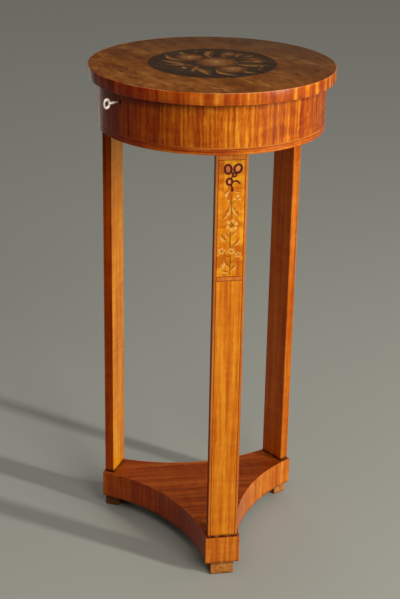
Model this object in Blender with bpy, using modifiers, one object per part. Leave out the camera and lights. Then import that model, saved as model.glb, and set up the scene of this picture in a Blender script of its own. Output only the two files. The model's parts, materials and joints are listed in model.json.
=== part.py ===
"""Round work table: a hinged lid over a drum-shaped well, on three straight legs and a hollow-sided platform.

The origin is on the floor under the drum's axis, +Z is up, and the lock with its key faces -Y.
"""

import math

import bmesh
import bpy
from mathutils import Matrix, Vector

MM = 0.001

# Drum and lid
FRIEZE_RADIUS = 170 * MM
FRIEZE_HEIGHT = 73 * MM
FRIEZE_WALL = 17 * MM
LOWER_BAND_HEIGHT = 8.7 * MM
STRING_HEIGHT = 1.6 * MM
WELL_BOTTOM_THICKNESS = 8 * MM
WELL_REBATE = 4 * MM
LID_OVERHANG = 13 * MM
LID_THICKNESS = 17.6 * MM
LID_JOINT = 0.4 * MM
LID_ARRIS = 0.8 * MM
MEDALLION_RADIUS = 95 * MM
VENEER = 1.2 * MM

# Legs, with a tenon at each end
LEG_LENGTH = 618 * MM
LEG_WIDTH = 46 * MM
LEG_THICKNESS = 15 * MM
LEG_INSET = 2 * MM
LEG_PANEL_HEIGHT = 185 * MM
TENON_LENGTH = 25 * MM
TENON_SIDE_SHOULDER = 8 * MM
TENON_FRONT_SHOULDER = 1.5 * MM
TENON_BACK_SHOULDER = 6 * MM

# Platform and feet
PLATFORM_THICKNESS = 45 * MM
PLATFORM_WAIST = 74 * MM
CORNER_PROUD = 3 * MM
CORNER_MARGIN = 4 * MM
FOOT_HEIGHT = 21 * MM
FOOT_WIDTH = 36.5 * MM
FOOT_DEPTH = 24 * MM
FOOT_SETBACK = 1 * MM
FOOT_ARRIS = 0.8 * MM

# Box lock, its link plate and its key
LOCK_PLATE_THICKNESS = 1.5 * MM
LOCK_FLANGE = 4.6 * MM
LOCK_SKIRT = 3 * MM
CASE_WALL = 1.2 * MM
CASE_DEPTH = 5.6 * MM
BIT_REACH = 6 * MM
BIT_THICKNESS = 2.2 * MM
BIT_LENGTH = 4.6 * MM
BOLT_THROW = 6 * MM
BOLT_WEB = 1.7 * MM
BOLT_BAR_DEPTH = 5.6 * MM
BOLT_POST = 2.5 * MM
FINGER_WIDTH = 2 * MM
FINGER_HEIGHT = 2.2 * MM
TALON_WIDTH = 11.2 * MM
EYE_SPREAD = 7 * MM
EYE_THICKNESS = 2 * MM
EYE_WALL = 1.1 * MM
LINK_LENGTH = 38 * MM
LINK_WIDTH = 9 * MM
LINK_THICKNESS = 1.5 * MM
PIN_RADIUS = 0.85 * MM
SHANK_RADIUS = 2.1 * MM
SHANK_COLLAR = 0.6 * MM
SHANK_COLLAR_LENGTH = 2.2 * MM
KEY_REACH = 29.5 * MM
BOW_HEIGHT = 17 * MM
BOW_LENGTH = 14 * MM
BOW_WIRE = 2.7 * MM

# Butt hinges
HINGE_LENGTH = 25 * MM
HINGE_SPREAD = 23 * MM
HINGE_LEAF_WIDTH = 18 * MM
HINGE_LEAF_THICKNESS = 1.4 * MM
KNUCKLE_RADIUS = 2.4 * MM
HINGE_PIN_RADIUS = 1 * MM

# Clearances
GLUE_LINE = 0.05 * MM
SEAT = 0.3 * MM
WORKING_FIT = 0.4 * MM
FINGER_START = 0.7 * MM

# Facets
ROUND_STEPS = 96
SIDE_STEPS = 20
ROD_STEPS = 24
BOW_STEPS = 20
WELD = 0.001 * MM
SHARP = math.radians(30)

# Heights above the floor
PLATFORM_BOTTOM = FOOT_HEIGHT
PLATFORM_TOP = PLATFORM_BOTTOM + PLATFORM_THICKNESS
FRIEZE_BOTTOM = PLATFORM_TOP + LEG_LENGTH
STRING_BOTTOM = FRIEZE_BOTTOM + LOWER_BAND_HEIGHT
STRING_TOP = STRING_BOTTOM + STRING_HEIGHT
RIM = FRIEZE_BOTTOM + FRIEZE_HEIGHT
LID_BOTTOM = RIM + LID_JOINT
LID_TOP = LID_BOTTOM + LID_THICKNESS
PANEL_BOTTOM = FRIEZE_BOTTOM - LEG_PANEL_HEIGHT

# Distances from the drum's axis
CORE_OUTSIDE = FRIEZE_RADIUS - VENEER - SEAT
CORE_INSIDE = CORE_OUTSIDE - FRIEZE_WALL
LID_RADIUS = FRIEZE_RADIUS + LID_OVERHANG
LID_BOARD_RADIUS = LID_RADIUS - VENEER - SEAT
LEG_FACE = FRIEZE_RADIUS - LEG_INSET
LEG_CORE_FACE = LEG_FACE - VENEER - GLUE_LINE
LEG_BACK = LEG_FACE - LEG_THICKNESS
CORNER_FACE = LEG_FACE + CORNER_PROUD
CORNER_CORE_FACE = CORNER_FACE - VENEER - GLUE_LINE
CORNER_WIDTH = LEG_WIDTH + 2 * CORNER_MARGIN

# The three legs, named as seen from the lock side, and the hollow sides between them
LEG_AZIMUTHS = {"right": math.radians(-30), "back": math.radians(90), "left": math.radians(210)}
SIDE_AZIMUTHS = {"right": math.radians(30), "left": math.radians(150), "front": math.radians(270)}
HALF_TURN_TO_CORNER = math.pi / 3

# Lock levels, stacked from the key's axis up to the rim
TALON_TOP = BIT_REACH + WORKING_FIT
BOLT_TOP = TALON_TOP + BOLT_WEB
EYE_BOTTOM = BOLT_TOP + WORKING_FIT
FINGER_BOTTOM = EYE_BOTTOM + EYE_WALL + WORKING_FIT
FINGER_TOP = FINGER_BOTTOM + FINGER_HEIGHT
BOLT_CREST = FINGER_TOP + WORKING_FIT
SELVEDGE_BOTTOM = BOLT_CREST + SEAT
KEY_AXIS = RIM - SELVEDGE_BOTTOM - LOCK_PLATE_THICKNESS

# Lock places, measured out from the drum's axis towards the lock side
CASE_HALF = EYE_SPREAD + EYE_THICKNESS / 2 + BOLT_THROW + SEAT + BOLT_POST + SEAT + CASE_WALL
LOCK_HALF = CASE_HALF + LOCK_FLANGE
LOCK_INSIDE = math.sqrt(CORE_INSIDE**2 - LOCK_HALF**2)
LOCK_FRONT_OF_PLATE = LOCK_INSIDE + LOCK_PLATE_THICKNESS
CASE_FRONT = LOCK_FRONT_OF_PLATE + CASE_DEPTH + CASE_WALL
BOLT_MIDDLE = LOCK_FRONT_OF_PLATE + CASE_DEPTH / 2
CASE_BOTTOM = KEY_AXIS - BIT_REACH - WORKING_FIT - CASE_WALL
LOCK_BOTTOM = CASE_BOTTOM - LOCK_SKIRT
EYE_DEPTH = CASE_DEPTH - 2 * SEAT
BORE_RADIUS = PIN_RADIUS + SEAT
KEYHOLE_RADIUS = SHANK_RADIUS + WORKING_FIT

# Hinge axis, just behind the drum and in the joint under the lid
HINGE_Y = FRIEZE_RADIUS + KNUCKLE_RADIUS + WORKING_FIT
HINGE_Z = RIM + LID_JOINT / 2
KNUCKLE_LENGTH = (HINGE_LENGTH - 2 * SEAT) / 3
HINGE_BORE_RADIUS = HINGE_PIN_RADIUS + SEAT

for leftover in list(bpy.data.objects):
    bpy.data.objects.remove(leftover, do_unlink=True)


def new_collection(name):
    made = bpy.data.collections.new(name)
    bpy.context.scene.collection.children.link(made)
    return made


PARTS = new_collection("work_table")
CUTTERS = new_collection("work_table_cutters")


# Materials

def material(name, colour, roughness, metallic=0.0):
    made = bpy.data.materials.new(name)
    made.use_nodes = True
    shader = made.node_tree.nodes["Principled BSDF"]
    shader.inputs["Base Color"].default_value = (*colour, 1.0)
    shader.inputs["Roughness"].default_value = roughness
    shader.inputs["Metallic"].default_value = metallic
    return made


SATINWOOD = material("satinwood", (0.56, 0.24, 0.05), 0.25)
FIGURED_TOP = material("figured_top", (0.24, 0.10, 0.03), 0.22)
MARQUETRY = material("marquetry", (0.10, 0.05, 0.03), 0.25)
LEG_PANEL = material("leg_panel", (0.66, 0.33, 0.08), 0.25)
STRINGING = material("stringing", (0.72, 0.48, 0.20), 0.3)
CARCASE = material("carcase", (0.40, 0.24, 0.11), 0.6)
PLATFORM_WOOD = material("platform_wood", (0.26, 0.08, 0.02), 0.28)
LOCK_STEEL = material("lock_steel", (0.45, 0.43, 0.40), 0.4, 1.0)
KEY_STEEL = material("key_steel", (0.78, 0.74, 0.68), 0.3, 1.0)
HINGE_BRASS = material("hinge_brass", (0.62, 0.43, 0.16), 0.35, 1.0)


# Modelling tools

def place(name, mesh, finish, parent=None):
    """A part of the table, or a part that rides on an empty whose frame it was modelled in."""
    obj = bpy.data.objects.new(name, mesh)
    obj.data.materials.append(finish)
    obj.parent = parent
    PARTS.objects.link(obj)
    return obj


def cutter(name, mesh, parent=None):
    """A shape that is taken from, or fused to, the parts, and isn't one itself."""
    obj = bpy.data.objects.new(name, mesh)
    obj.parent = parent
    obj.hide_render = True
    obj.display_type = "WIRE"
    CUTTERS.objects.link(obj)
    return obj


def boolean(obj, other, operation):
    step = obj.modifiers.new(other.name, "BOOLEAN")
    step.operation = operation
    step.solver = "EXACT"
    step.object = other


def cut(obj, *others):
    for other in others:
        boolean(obj, other, "DIFFERENCE")


def fuse(obj, *others):
    for other in others:
        boolean(obj, other, "UNION")


def empty(name, location=(0, 0, 0), turn=0.0):
    made = bpy.data.objects.new(name, None)
    made.location = location
    made.rotation_euler.z = turn
    PARTS.objects.link(made)
    return made


def finished(bm, name):
    """A mesh from a bmesh, shaded smooth on its round faces."""
    mesh = bpy.data.meshes.new(name)
    bm.to_mesh(mesh)
    bm.free()
    mesh.shade_smooth()
    mesh.set_sharp_from_angle(angle=SHARP)
    return mesh


def evaluated(obj, name):
    """The welded mesh of an object with its modifiers or its curve's depth, which it replaces."""
    bpy.context.view_layer.update()
    graph = bpy.context.evaluated_depsgraph_get()
    mesh = bpy.data.meshes.new_from_object(obj.evaluated_get(graph))
    bm = bmesh.new()
    bm.from_mesh(mesh)
    bmesh.ops.remove_doubles(bm, verts=bm.verts, dist=WELD)
    bmesh.ops.recalc_face_normals(bm, faces=bm.faces)
    bpy.data.objects.remove(obj)
    return finished(bm, name)


def box(name, low, high):
    """A box between two opposite corners."""
    low, high = Vector(low), Vector(high)
    shape = Matrix.Translation((low + high) / 2) @ Matrix.Diagonal((*(high - low), 1.0))
    bm = bmesh.new()
    bmesh.ops.create_cube(bm, size=1.0, matrix=shape)
    return finished(bm, name)


def rod(name, start, end, radius):
    """A cylinder between two points on its axis."""
    start, end = Vector(start), Vector(end)
    along = (end - start).to_track_quat("Z", "X").to_matrix().to_4x4()
    shape = Matrix.Translation((start + end) / 2) @ along
    bm = bmesh.new()
    bmesh.ops.create_cone(
        bm,
        cap_ends=True,
        segments=ROD_STEPS,
        radius1=radius,
        radius2=radius,
        depth=(end - start).length,
        matrix=shape,
    )
    return finished(bm, name)


def turned(name, profile, ring=False, steps=ROUND_STEPS):
    """A profile of radius and height, listed down its outer side, turned about Z; a ring's profile closes."""
    edges = [(i, i + 1) for i in range(len(profile) - 1)]
    if ring:
        edges.append((len(profile) - 1, 0))
    mesh = bpy.data.meshes.new(name)
    mesh.from_pydata([(radius, 0, height) for radius, height in profile], edges, [])
    obj = bpy.data.objects.new(name, mesh)
    CUTTERS.objects.link(obj)
    screw = obj.modifiers.new("turn", "SCREW")
    screw.steps = steps
    screw.render_steps = steps
    screw.use_merge_vertices = True
    screw.merge_threshold = WELD
    return evaluated(obj, name)


def disc(name, radius, bottom, top):
    return turned(name, [(0, top), (radius, top), (radius, bottom), (0, bottom)])


def ring(name, inside, outside, bottom, top):
    return turned(name, [(outside, top), (outside, bottom), (inside, bottom), (inside, top)], ring=True)


def plate(name, outline, bottom, top):
    """A flat outline, filled and given its thickness."""
    curve = bpy.data.curves.new(name, "CURVE")
    curve.dimensions = "2D"
    curve.fill_mode = "BOTH"
    curve.extrude = (top - bottom) / 2
    spline = curve.splines.new("POLY")
    spline.points.add(len(outline) - 1)
    for point, (x, y) in zip(spline.points, outline):
        point.co = (x, y, 0, 1)
    spline.use_cyclic_u = True
    obj = bpy.data.objects.new(name, curve)
    CUTTERS.objects.link(obj)
    mesh = evaluated(obj, name)
    for vertex in mesh.vertices:
        vertex.co.z = top if vertex.co.z > 0 else bottom
    return mesh


# Lid, which turns on an axis behind the drum

lid_hinge = empty("lid_hinge", (0, HINGE_Y, HINGE_Z))
FROM_HINGE = Matrix.Translation((0, -HINGE_Y, -HINGE_Z))


def on_lid(name, mesh, finish):
    obj = place(name, mesh, finish, lid_hinge)
    obj.matrix_parent_inverse = FROM_HINGE
    return obj


VENEER_BOTTOM = LID_TOP - VENEER
lid_board = on_lid("lid_board", disc("lid_board", LID_BOARD_RADIUS, LID_BOTTOM, VENEER_BOTTOM), CARCASE)
edge_profile = [
    (LID_RADIUS - LID_ARRIS, LID_TOP),
    (LID_RADIUS, LID_TOP - LID_ARRIS),
    (LID_RADIUS, LID_BOTTOM + LID_ARRIS),
    (LID_RADIUS - LID_ARRIS, LID_BOTTOM),
    (LID_RADIUS - VENEER, LID_BOTTOM),
    (LID_RADIUS - VENEER, LID_TOP),
]
on_lid("lid_edge_band", turned("lid_edge_band", edge_profile, ring=True), SATINWOOD)
top_veneer = ring("lid_top_veneer", MEDALLION_RADIUS + SEAT, LID_BOARD_RADIUS, VENEER_BOTTOM, LID_TOP)
on_lid("lid_top_veneer", top_veneer, FIGURED_TOP)
on_lid("lid_medallion", disc("lid_medallion", MEDALLION_RADIUS, VENEER_BOTTOM, LID_TOP), MARQUETRY)


# Drum: a built-up ring with its veneers and the bottom of the well

WELL_FLOOR = FRIEZE_BOTTOM + WELL_BOTTOM_THICKNESS
REBATE_RADIUS = CORE_INSIDE + WELL_REBATE
ring_profile = [
    (CORE_OUTSIDE, RIM),
    (CORE_OUTSIDE, FRIEZE_BOTTOM),
    (REBATE_RADIUS, FRIEZE_BOTTOM),
    (REBATE_RADIUS, WELL_FLOOR),
    (CORE_INSIDE, WELL_FLOOR),
    (CORE_INSIDE, RIM),
]
frieze_ring = place("frieze_ring", turned("frieze_ring", ring_profile, ring=True), CARCASE)
well_bottom = disc("well_bottom", REBATE_RADIUS - SEAT, FRIEZE_BOTTOM, WELL_FLOOR)
place("well_bottom", well_bottom, CARCASE)


def frieze_band(name, bottom, top, finish):
    mesh = ring(name, FRIEZE_RADIUS - VENEER, FRIEZE_RADIUS, bottom, top)
    return place(name, mesh, finish)


frieze_veneer = frieze_band("frieze_veneer", STRING_TOP, RIM, SATINWOOD)
frieze_band("frieze_string", STRING_BOTTOM, STRING_TOP, STRINGING)
frieze_band("frieze_lower_band", FRIEZE_BOTTOM, STRING_BOTTOM, SATINWOOD)


# Platform: a triangle with cut corners and hollow sides

def hollow_centre():
    """How far from the axis the arc of a hollow side is centred, on the line through the side's middle."""
    half = CORNER_WIDTH / 2
    end_x = CORNER_FACE * math.cos(HALF_TURN_TO_CORNER) + half * math.sin(HALF_TURN_TO_CORNER)
    end_y = CORNER_FACE * math.sin(HALF_TURN_TO_CORNER) - half * math.cos(HALF_TURN_TO_CORNER)
    return (end_x**2 + end_y**2 - PLATFORM_WAIST**2) / (2 * (end_x - PLATFORM_WAIST))


def hollow_side(azimuth, sunk):
    """The arc of one side, sunk below its face, between the backs of two corner facings."""
    centre = hollow_centre()
    radius = centre - PLATFORM_WAIST + sunk
    level = centre * math.cos(HALF_TURN_TO_CORNER) - CORNER_CORE_FACE
    reach = math.acos(level / radius) - HALF_TURN_TO_CORNER
    turn = Matrix.Rotation(azimuth, 2)
    points = []
    for step in range(SIDE_STEPS + 1):
        angle = reach * (2 * step / SIDE_STEPS - 1)
        point = Vector((centre - radius * math.cos(angle), radius * math.sin(angle)))
        points.append(turn @ point)
    return points


core_outline = []
for side_azimuth in SIDE_AZIMUTHS.values():
    core_outline += hollow_side(side_azimuth, VENEER + SEAT)
CORE_TOP = PLATFORM_TOP - VENEER
platform_core = place(
    "platform_core", plate("platform_core", core_outline, PLATFORM_BOTTOM, CORE_TOP), CARCASE
)
platform_top = place(
    "platform_top_veneer", plate("platform_top_veneer", core_outline, CORE_TOP, PLATFORM_TOP), PLATFORM_WOOD
)
for side, side_azimuth in SIDE_AZIMUTHS.items():
    strip = hollow_side(side_azimuth, 0) + hollow_side(side_azimuth, VENEER)[::-1]
    name = f"platform_side_veneer_{side}"
    place(name, plate(name, strip, PLATFORM_BOTTOM, PLATFORM_TOP), SATINWOOD)


# Legs, corner facings and feet, each modelled with its face towards +X and turned to its corner

LEG_HALF = LEG_WIDTH / 2
TENON_HALF = LEG_HALF - TENON_SIDE_SHOULDER
TENON_BACK = LEG_BACK + TENON_BACK_SHOULDER
TENON_FRONT = LEG_CORE_FACE - TENON_FRONT_SHOULDER
MORTISE_DEPTH = TENON_LENGTH + SEAT


def tenon(name, bottom, top, ease=0.0):
    """The block of a tenon, or of the mortise round it."""
    low = (TENON_BACK - ease, -TENON_HALF - ease, bottom)
    high = (TENON_FRONT + ease, TENON_HALF + ease, top)
    return box(name, low, high)


def leg_core():
    shaft = box("leg", (LEG_BACK, -LEG_HALF, PLATFORM_TOP), (LEG_CORE_FACE, LEG_HALF, FRIEZE_BOTTOM))
    obj = cutter("leg_shaft", shaft)
    low, high = PLATFORM_TOP - TENON_LENGTH, FRIEZE_BOTTOM + TENON_LENGTH
    fuse(obj, cutter("leg_tenons", tenon("leg_tenons", low, high)))
    return evaluated(obj, "leg")


leg_mesh = leg_core()


def facing(name, face, width, bottom, top):
    """A flat veneer, given by the place of its face."""
    return box(name, (face - VENEER, -width / 2, bottom), (face, width / 2, top))


panel_mesh = facing("leg_panel", LEG_FACE, LEG_WIDTH, PANEL_BOTTOM, FRIEZE_BOTTOM)
face_mesh = facing("leg_face", LEG_FACE, LEG_WIDTH, PLATFORM_TOP, PANEL_BOTTOM)
facing_mesh = facing("corner_facing", CORNER_FACE, CORNER_WIDTH, PLATFORM_BOTTOM, PLATFORM_TOP)
FOOT_FACE = CORNER_FACE - FOOT_SETBACK
foot_mesh = box(
    "foot", (FOOT_FACE - FOOT_DEPTH, -FOOT_WIDTH / 2, 0), (FOOT_FACE, FOOT_WIDTH / 2, FOOT_HEIGHT)
)
mortise_mesh = tenon("mortises", PLATFORM_TOP - MORTISE_DEPTH, FRIEZE_BOTTOM + MORTISE_DEPTH, SEAT)

for corner, corner_azimuth in LEG_AZIMUTHS.items():
    frame = empty(f"leg_frame_{corner}", turn=corner_azimuth)
    place(f"leg_{corner}", leg_mesh, CARCASE, frame)
    place(f"leg_panel_{corner}", panel_mesh, LEG_PANEL, frame)
    place(f"leg_face_{corner}", face_mesh, SATINWOOD, frame)
    place(f"platform_corner_{corner}", facing_mesh, SATINWOOD, frame)
    foot = place(f"foot_{corner}", foot_mesh, SATINWOOD, frame)
    ease = foot.modifiers.new("arris", "BEVEL")
    ease.width = FOOT_ARRIS
    ease.segments = 1
    mortises = cutter(f"mortises_{corner}", mortise_mesh, frame)
    cut(frieze_ring, mortises)
    cut(platform_core, mortises)
    cut(platform_top, mortises)


# Lock: a plate with its selvedge, a case over the works, a bolt and the pin that the key turns on

def lock_box(name, left, right, back, front, bottom, top):
    """A box in the lock, with depths measured out from the drum's axis towards the lock side."""
    return box(name, (left, -front, bottom), (right, -back, top))


CLEAR_OF_RIM = RIM + LID_JOINT
lock_plate = place(
    "lock_plate",
    lock_box("lock_plate", -LOCK_HALF, LOCK_HALF, LOCK_INSIDE, LOCK_FRONT_OF_PLATE, LOCK_BOTTOM, RIM),
    LOCK_STEEL,
)
SELVEDGE = RIM - LOCK_PLATE_THICKNESS
fuse(
    lock_plate,
    cutter(
        "selvedge",
        lock_box("selvedge", -LOCK_HALF, LOCK_HALF, LOCK_INSIDE, CASE_FRONT, SELVEDGE, RIM),
    ),
)
case_inside = CASE_HALF - CASE_WALL
lock_case = place(
    "lock_case",
    lock_box("lock_case", -CASE_HALF, CASE_HALF, LOCK_FRONT_OF_PLATE, CASE_FRONT, CASE_BOTTOM, SELVEDGE),
    LOCK_STEEL,
)
cut(
    lock_case,
    cutter(
        "case_hollow",
        lock_box(
            "case_hollow",
            -case_inside,
            case_inside,
            LOCK_INSIDE,
            CASE_FRONT - CASE_WALL,
            CASE_BOTTOM + CASE_WALL,
            CLEAR_OF_RIM,
        ),
    ),
)
key_pin = rod(
    "lock_pin",
    (0, -LOCK_FRONT_OF_PLATE, KEY_AXIS),
    (0, -CASE_FRONT, KEY_AXIS),
    PIN_RADIUS,
)
place("lock_pin", key_pin, LOCK_STEEL)

# The bolt, drawn back to the left, with a talon over the key's bit and two fingers for the link plate's eyes
BAR_HALF = CASE_DEPTH / 2 - SEAT
BAR_BACK = BOLT_MIDDLE - BAR_HALF
BAR_FRONT = BOLT_MIDDLE + BAR_HALF
TALON_MIDDLE = -BOLT_THROW / 2
BAR_BOTTOM = KEY_AXIS + BOLT_TOP - BOLT_BAR_DEPTH
BAR_LEFT = -case_inside + SEAT
BAR_RIGHT = TALON_MIDDLE + TALON_WIDTH / 2 + BOLT_POST
lock_bolt = place(
    "lock_bolt",
    lock_box("lock_bolt", BAR_LEFT, BAR_RIGHT, BAR_BACK, BAR_FRONT, BAR_BOTTOM, KEY_AXIS + BOLT_TOP),
    LOCK_STEEL,
)
talon = lock_box(
    "talon",
    TALON_MIDDLE - TALON_WIDTH / 2,
    TALON_MIDDLE + TALON_WIDTH / 2,
    LOCK_INSIDE,
    CASE_FRONT,
    CASE_BOTTOM,
    KEY_AXIS + TALON_TOP,
)
cut(lock_bolt, cutter("talon", talon))
for hand, eye_middle in (("left", -EYE_SPREAD), ("right", EYE_SPREAD)):
    eye_left = eye_middle - EYE_THICKNESS / 2
    post_right = eye_left - BOLT_THROW - SEAT
    post = lock_box(
        f"post_{hand}",
        post_right - BOLT_POST,
        post_right,
        BAR_BACK,
        BAR_FRONT,
        KEY_AXIS + TALON_TOP,
        KEY_AXIS + BOLT_CREST,
    )
    finger = lock_box(
        f"finger_{hand}",
        post_right - BOLT_POST,
        eye_left - FINGER_START,
        BOLT_MIDDLE - FINGER_WIDTH / 2,
        BOLT_MIDDLE + FINGER_WIDTH / 2,
        KEY_AXIS + FINGER_BOTTOM,
        KEY_AXIS + FINGER_TOP,
    )
    fuse(lock_bolt, cutter(f"post_{hand}", post), cutter(f"finger_{hand}", finger))

# The link plate, let into the lid, with two eyes that drop through the selvedge
link_plate = on_lid(
    "link_plate",
    lock_box(
        "link_plate",
        -LINK_LENGTH / 2,
        LINK_LENGTH / 2,
        BOLT_MIDDLE - LINK_WIDTH / 2,
        BOLT_MIDDLE + LINK_WIDTH / 2,
        LID_BOTTOM,
        LID_BOTTOM + LINK_THICKNESS,
    ),
    LOCK_STEEL,
)
EYE_HALF_DEPTH = EYE_DEPTH / 2
EYE_HOLE_HALF = EYE_HALF_DEPTH - EYE_WALL
for hand, eye_middle in (("left", -EYE_SPREAD), ("right", EYE_SPREAD)):
    eye_left = eye_middle - EYE_THICKNESS / 2
    eye_right = eye_middle + EYE_THICKNESS / 2
    eye = lock_box(
        f"eye_{hand}",
        eye_left,
        eye_right,
        BOLT_MIDDLE - EYE_HALF_DEPTH,
        BOLT_MIDDLE + EYE_HALF_DEPTH,
        KEY_AXIS + EYE_BOTTOM,
        LID_BOTTOM + LINK_THICKNESS / 2,
    )
    hole = lock_box(
        f"eye_hole_{hand}",
        eye_left - SEAT,
        eye_right + SEAT,
        BOLT_MIDDLE - EYE_HOLE_HALF,
        BOLT_MIDDLE + EYE_HOLE_HALF,
        KEY_AXIS + EYE_BOTTOM + EYE_WALL,
        KEY_AXIS + FINGER_TOP + WORKING_FIT,
    )
    slot = lock_box(
        f"slot_{hand}",
        eye_left - WORKING_FIT,
        eye_right + WORKING_FIT,
        BOLT_MIDDLE - EYE_HALF_DEPTH - WORKING_FIT,
        BOLT_MIDDLE + EYE_HALF_DEPTH + WORKING_FIT,
        SELVEDGE - SEAT,
        CLEAR_OF_RIM,
    )
    fuse(link_plate, cutter(f"eye_{hand}", eye))
    cut(link_plate, cutter(f"eye_hole_{hand}", hole))
    cut(lock_plate, cutter(f"slot_{hand}", slot))

# Pockets for the lock in the drum and for the link plate in the lid
cut(
    frieze_ring,
    cutter(
        "plate_pocket",
        lock_box(
            "plate_pocket",
            -LOCK_HALF - SEAT,
            LOCK_HALF + SEAT,
            0.0,
            LOCK_FRONT_OF_PLATE + SEAT,
            LOCK_BOTTOM - SEAT,
            CLEAR_OF_RIM,
        ),
    ),
    cutter(
        "case_pocket",
        lock_box(
            "case_pocket",
            -CASE_HALF - SEAT,
            CASE_HALF + SEAT,
            LOCK_INSIDE,
            CASE_FRONT + SEAT,
            CASE_BOTTOM - SEAT,
            CLEAR_OF_RIM,
        ),
    ),
    cutter(
        "selvedge_pocket",
        lock_box(
            "selvedge_pocket",
            -LOCK_HALF - SEAT,
            LOCK_HALF + SEAT,
            LOCK_INSIDE,
            CASE_FRONT + SEAT,
            SELVEDGE - SEAT,
            CLEAR_OF_RIM,
        ),
    ),
)
cut(
    lid_board,
    cutter(
        "link_pocket",
        lock_box(
            "link_pocket",
            -LINK_LENGTH / 2 - SEAT,
            LINK_LENGTH / 2 + SEAT,
            BOLT_MIDDLE - LINK_WIDTH / 2 - SEAT,
            BOLT_MIDDLE + LINK_WIDTH / 2 + SEAT,
            RIM,
            LID_BOTTOM + LINK_THICKNESS + SEAT,
        ),
    ),
)

# The keyhole, through the veneer, the drum and the case
keyhole_round = cutter(
    "keyhole_round",
    rod("keyhole_round", (0, -LOCK_FRONT_OF_PLATE, KEY_AXIS), (0, -LID_RADIUS, KEY_AXIS), KEYHOLE_RADIUS),
)
keyhole_slot = cutter(
    "keyhole_slot",
    lock_box(
        "keyhole_slot",
        -BIT_THICKNESS / 2 - WORKING_FIT,
        BIT_THICKNESS / 2 + WORKING_FIT,
        LOCK_FRONT_OF_PLATE,
        LID_RADIUS,
        KEY_AXIS - BIT_REACH - WORKING_FIT,
        KEY_AXIS,
    ),
)
for pierced in (frieze_veneer, frieze_ring, lock_case):
    cut(pierced, keyhole_round, keyhole_slot)


# Key: an oval bow, a collared shank bored for the pin, and a bit, in the frame of its own axis at the drum's face

def bow_ring():
    """The key's bow: wire bent to an oval that stands upright."""
    curve = bpy.data.curves.new("bow", "CURVE")
    curve.dimensions = "3D"
    curve.bevel_depth = BOW_WIRE / 2
    curve.bevel_resolution = 2
    spline = curve.splines.new("POLY")
    spline.points.add(BOW_STEPS - 1)
    half_length = (BOW_LENGTH - BOW_WIRE) / 2
    half_height = (BOW_HEIGHT - BOW_WIRE) / 2
    for step, point in enumerate(spline.points):
        angle = 2 * math.pi * step / BOW_STEPS
        along = -KEY_REACH + BOW_LENGTH / 2 + half_length * math.cos(angle)
        point.co = (0, along, half_height * math.sin(angle), 1)
    spline.use_cyclic_u = True
    obj = bpy.data.objects.new("bow", curve)
    CUTTERS.objects.link(obj)
    return evaluated(obj, "bow")


KEY_TIP = FRIEZE_RADIUS - LOCK_FRONT_OF_PLATE - WORKING_FIT
SHANK_START = BOW_LENGTH - BOW_WIRE / 2 - KEY_REACH
COLLAR_RADIUS = SHANK_RADIUS + SHANK_COLLAR
shank_profile = [
    (0, -SHANK_START),
    (SHANK_RADIUS, -SHANK_START),
    (SHANK_RADIUS, -SHANK_START - SHANK_COLLAR_LENGTH),
    (COLLAR_RADIUS, -SHANK_START - SHANK_COLLAR_LENGTH - SHANK_COLLAR),
    (COLLAR_RADIUS, -SHANK_START - 2 * SHANK_COLLAR_LENGTH),
    (SHANK_RADIUS, -SHANK_START - 2 * SHANK_COLLAR_LENGTH - SHANK_COLLAR),
    (SHANK_RADIUS, -KEY_TIP),
    (0, -KEY_TIP),
]
UPRIGHT_TO_KEY = Matrix.Rotation(math.pi / 2, 4, "X")
shank_mesh = turned("key", shank_profile, steps=ROD_STEPS)
shank_mesh.transform(UPRIGHT_TO_KEY)
key = place("key", shank_mesh, KEY_STEEL)
key.location = (0, -FRIEZE_RADIUS, KEY_AXIS)
BIT_MIDDLE = FRIEZE_RADIUS - BOLT_MIDDLE
bit_mesh = box(
    "bit",
    (-BIT_THICKNESS / 2, BIT_MIDDLE - BIT_LENGTH / 2, -BIT_REACH),
    (BIT_THICKNESS / 2, BIT_MIDDLE + BIT_LENGTH / 2, -BORE_RADIUS - SEAT),
)
BORE_END = FRIEZE_RADIUS - CASE_FRONT - SEAT
bore_mesh = rod("bore", (0, BORE_END, 0), (0, KEY_TIP + SEAT, 0), BORE_RADIUS)
fuse(key, cutter("bow", bow_ring(), key), cutter("bit", bit_mesh, key))
cut(key, cutter("bore", bore_mesh, key))


# Hinges: two butts, each with a leaf let into the rim, a leaf let into the lid, and a pin

LEAF_END = HINGE_Y - HINGE_LEAF_WIDTH
GROOVE_RADIUS = KNUCKLE_RADIUS + WORKING_FIT


def knuckle(name, left, radius, length):
    return cutter(name, rod(name, (left, HINGE_Y, HINGE_Z), (left + length, HINGE_Y, HINGE_Z), radius))


def leaf(name, left, bottom):
    high = (left + HINGE_LENGTH, HINGE_Y, bottom + HINGE_LEAF_THICKNESS)
    return box(name, (left, LEAF_END, bottom), high)


def leaf_pocket(name, left, bottom):
    """Room for a leaf, open towards the joint."""
    low = (left - SEAT, LEAF_END - SEAT, bottom)
    high = (left + HINGE_LENGTH + SEAT, HINGE_Y + GROOVE_RADIUS, bottom + HINGE_LEAF_THICKNESS + 2 * SEAT)
    return cutter(name, box(name, low, high))


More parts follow.
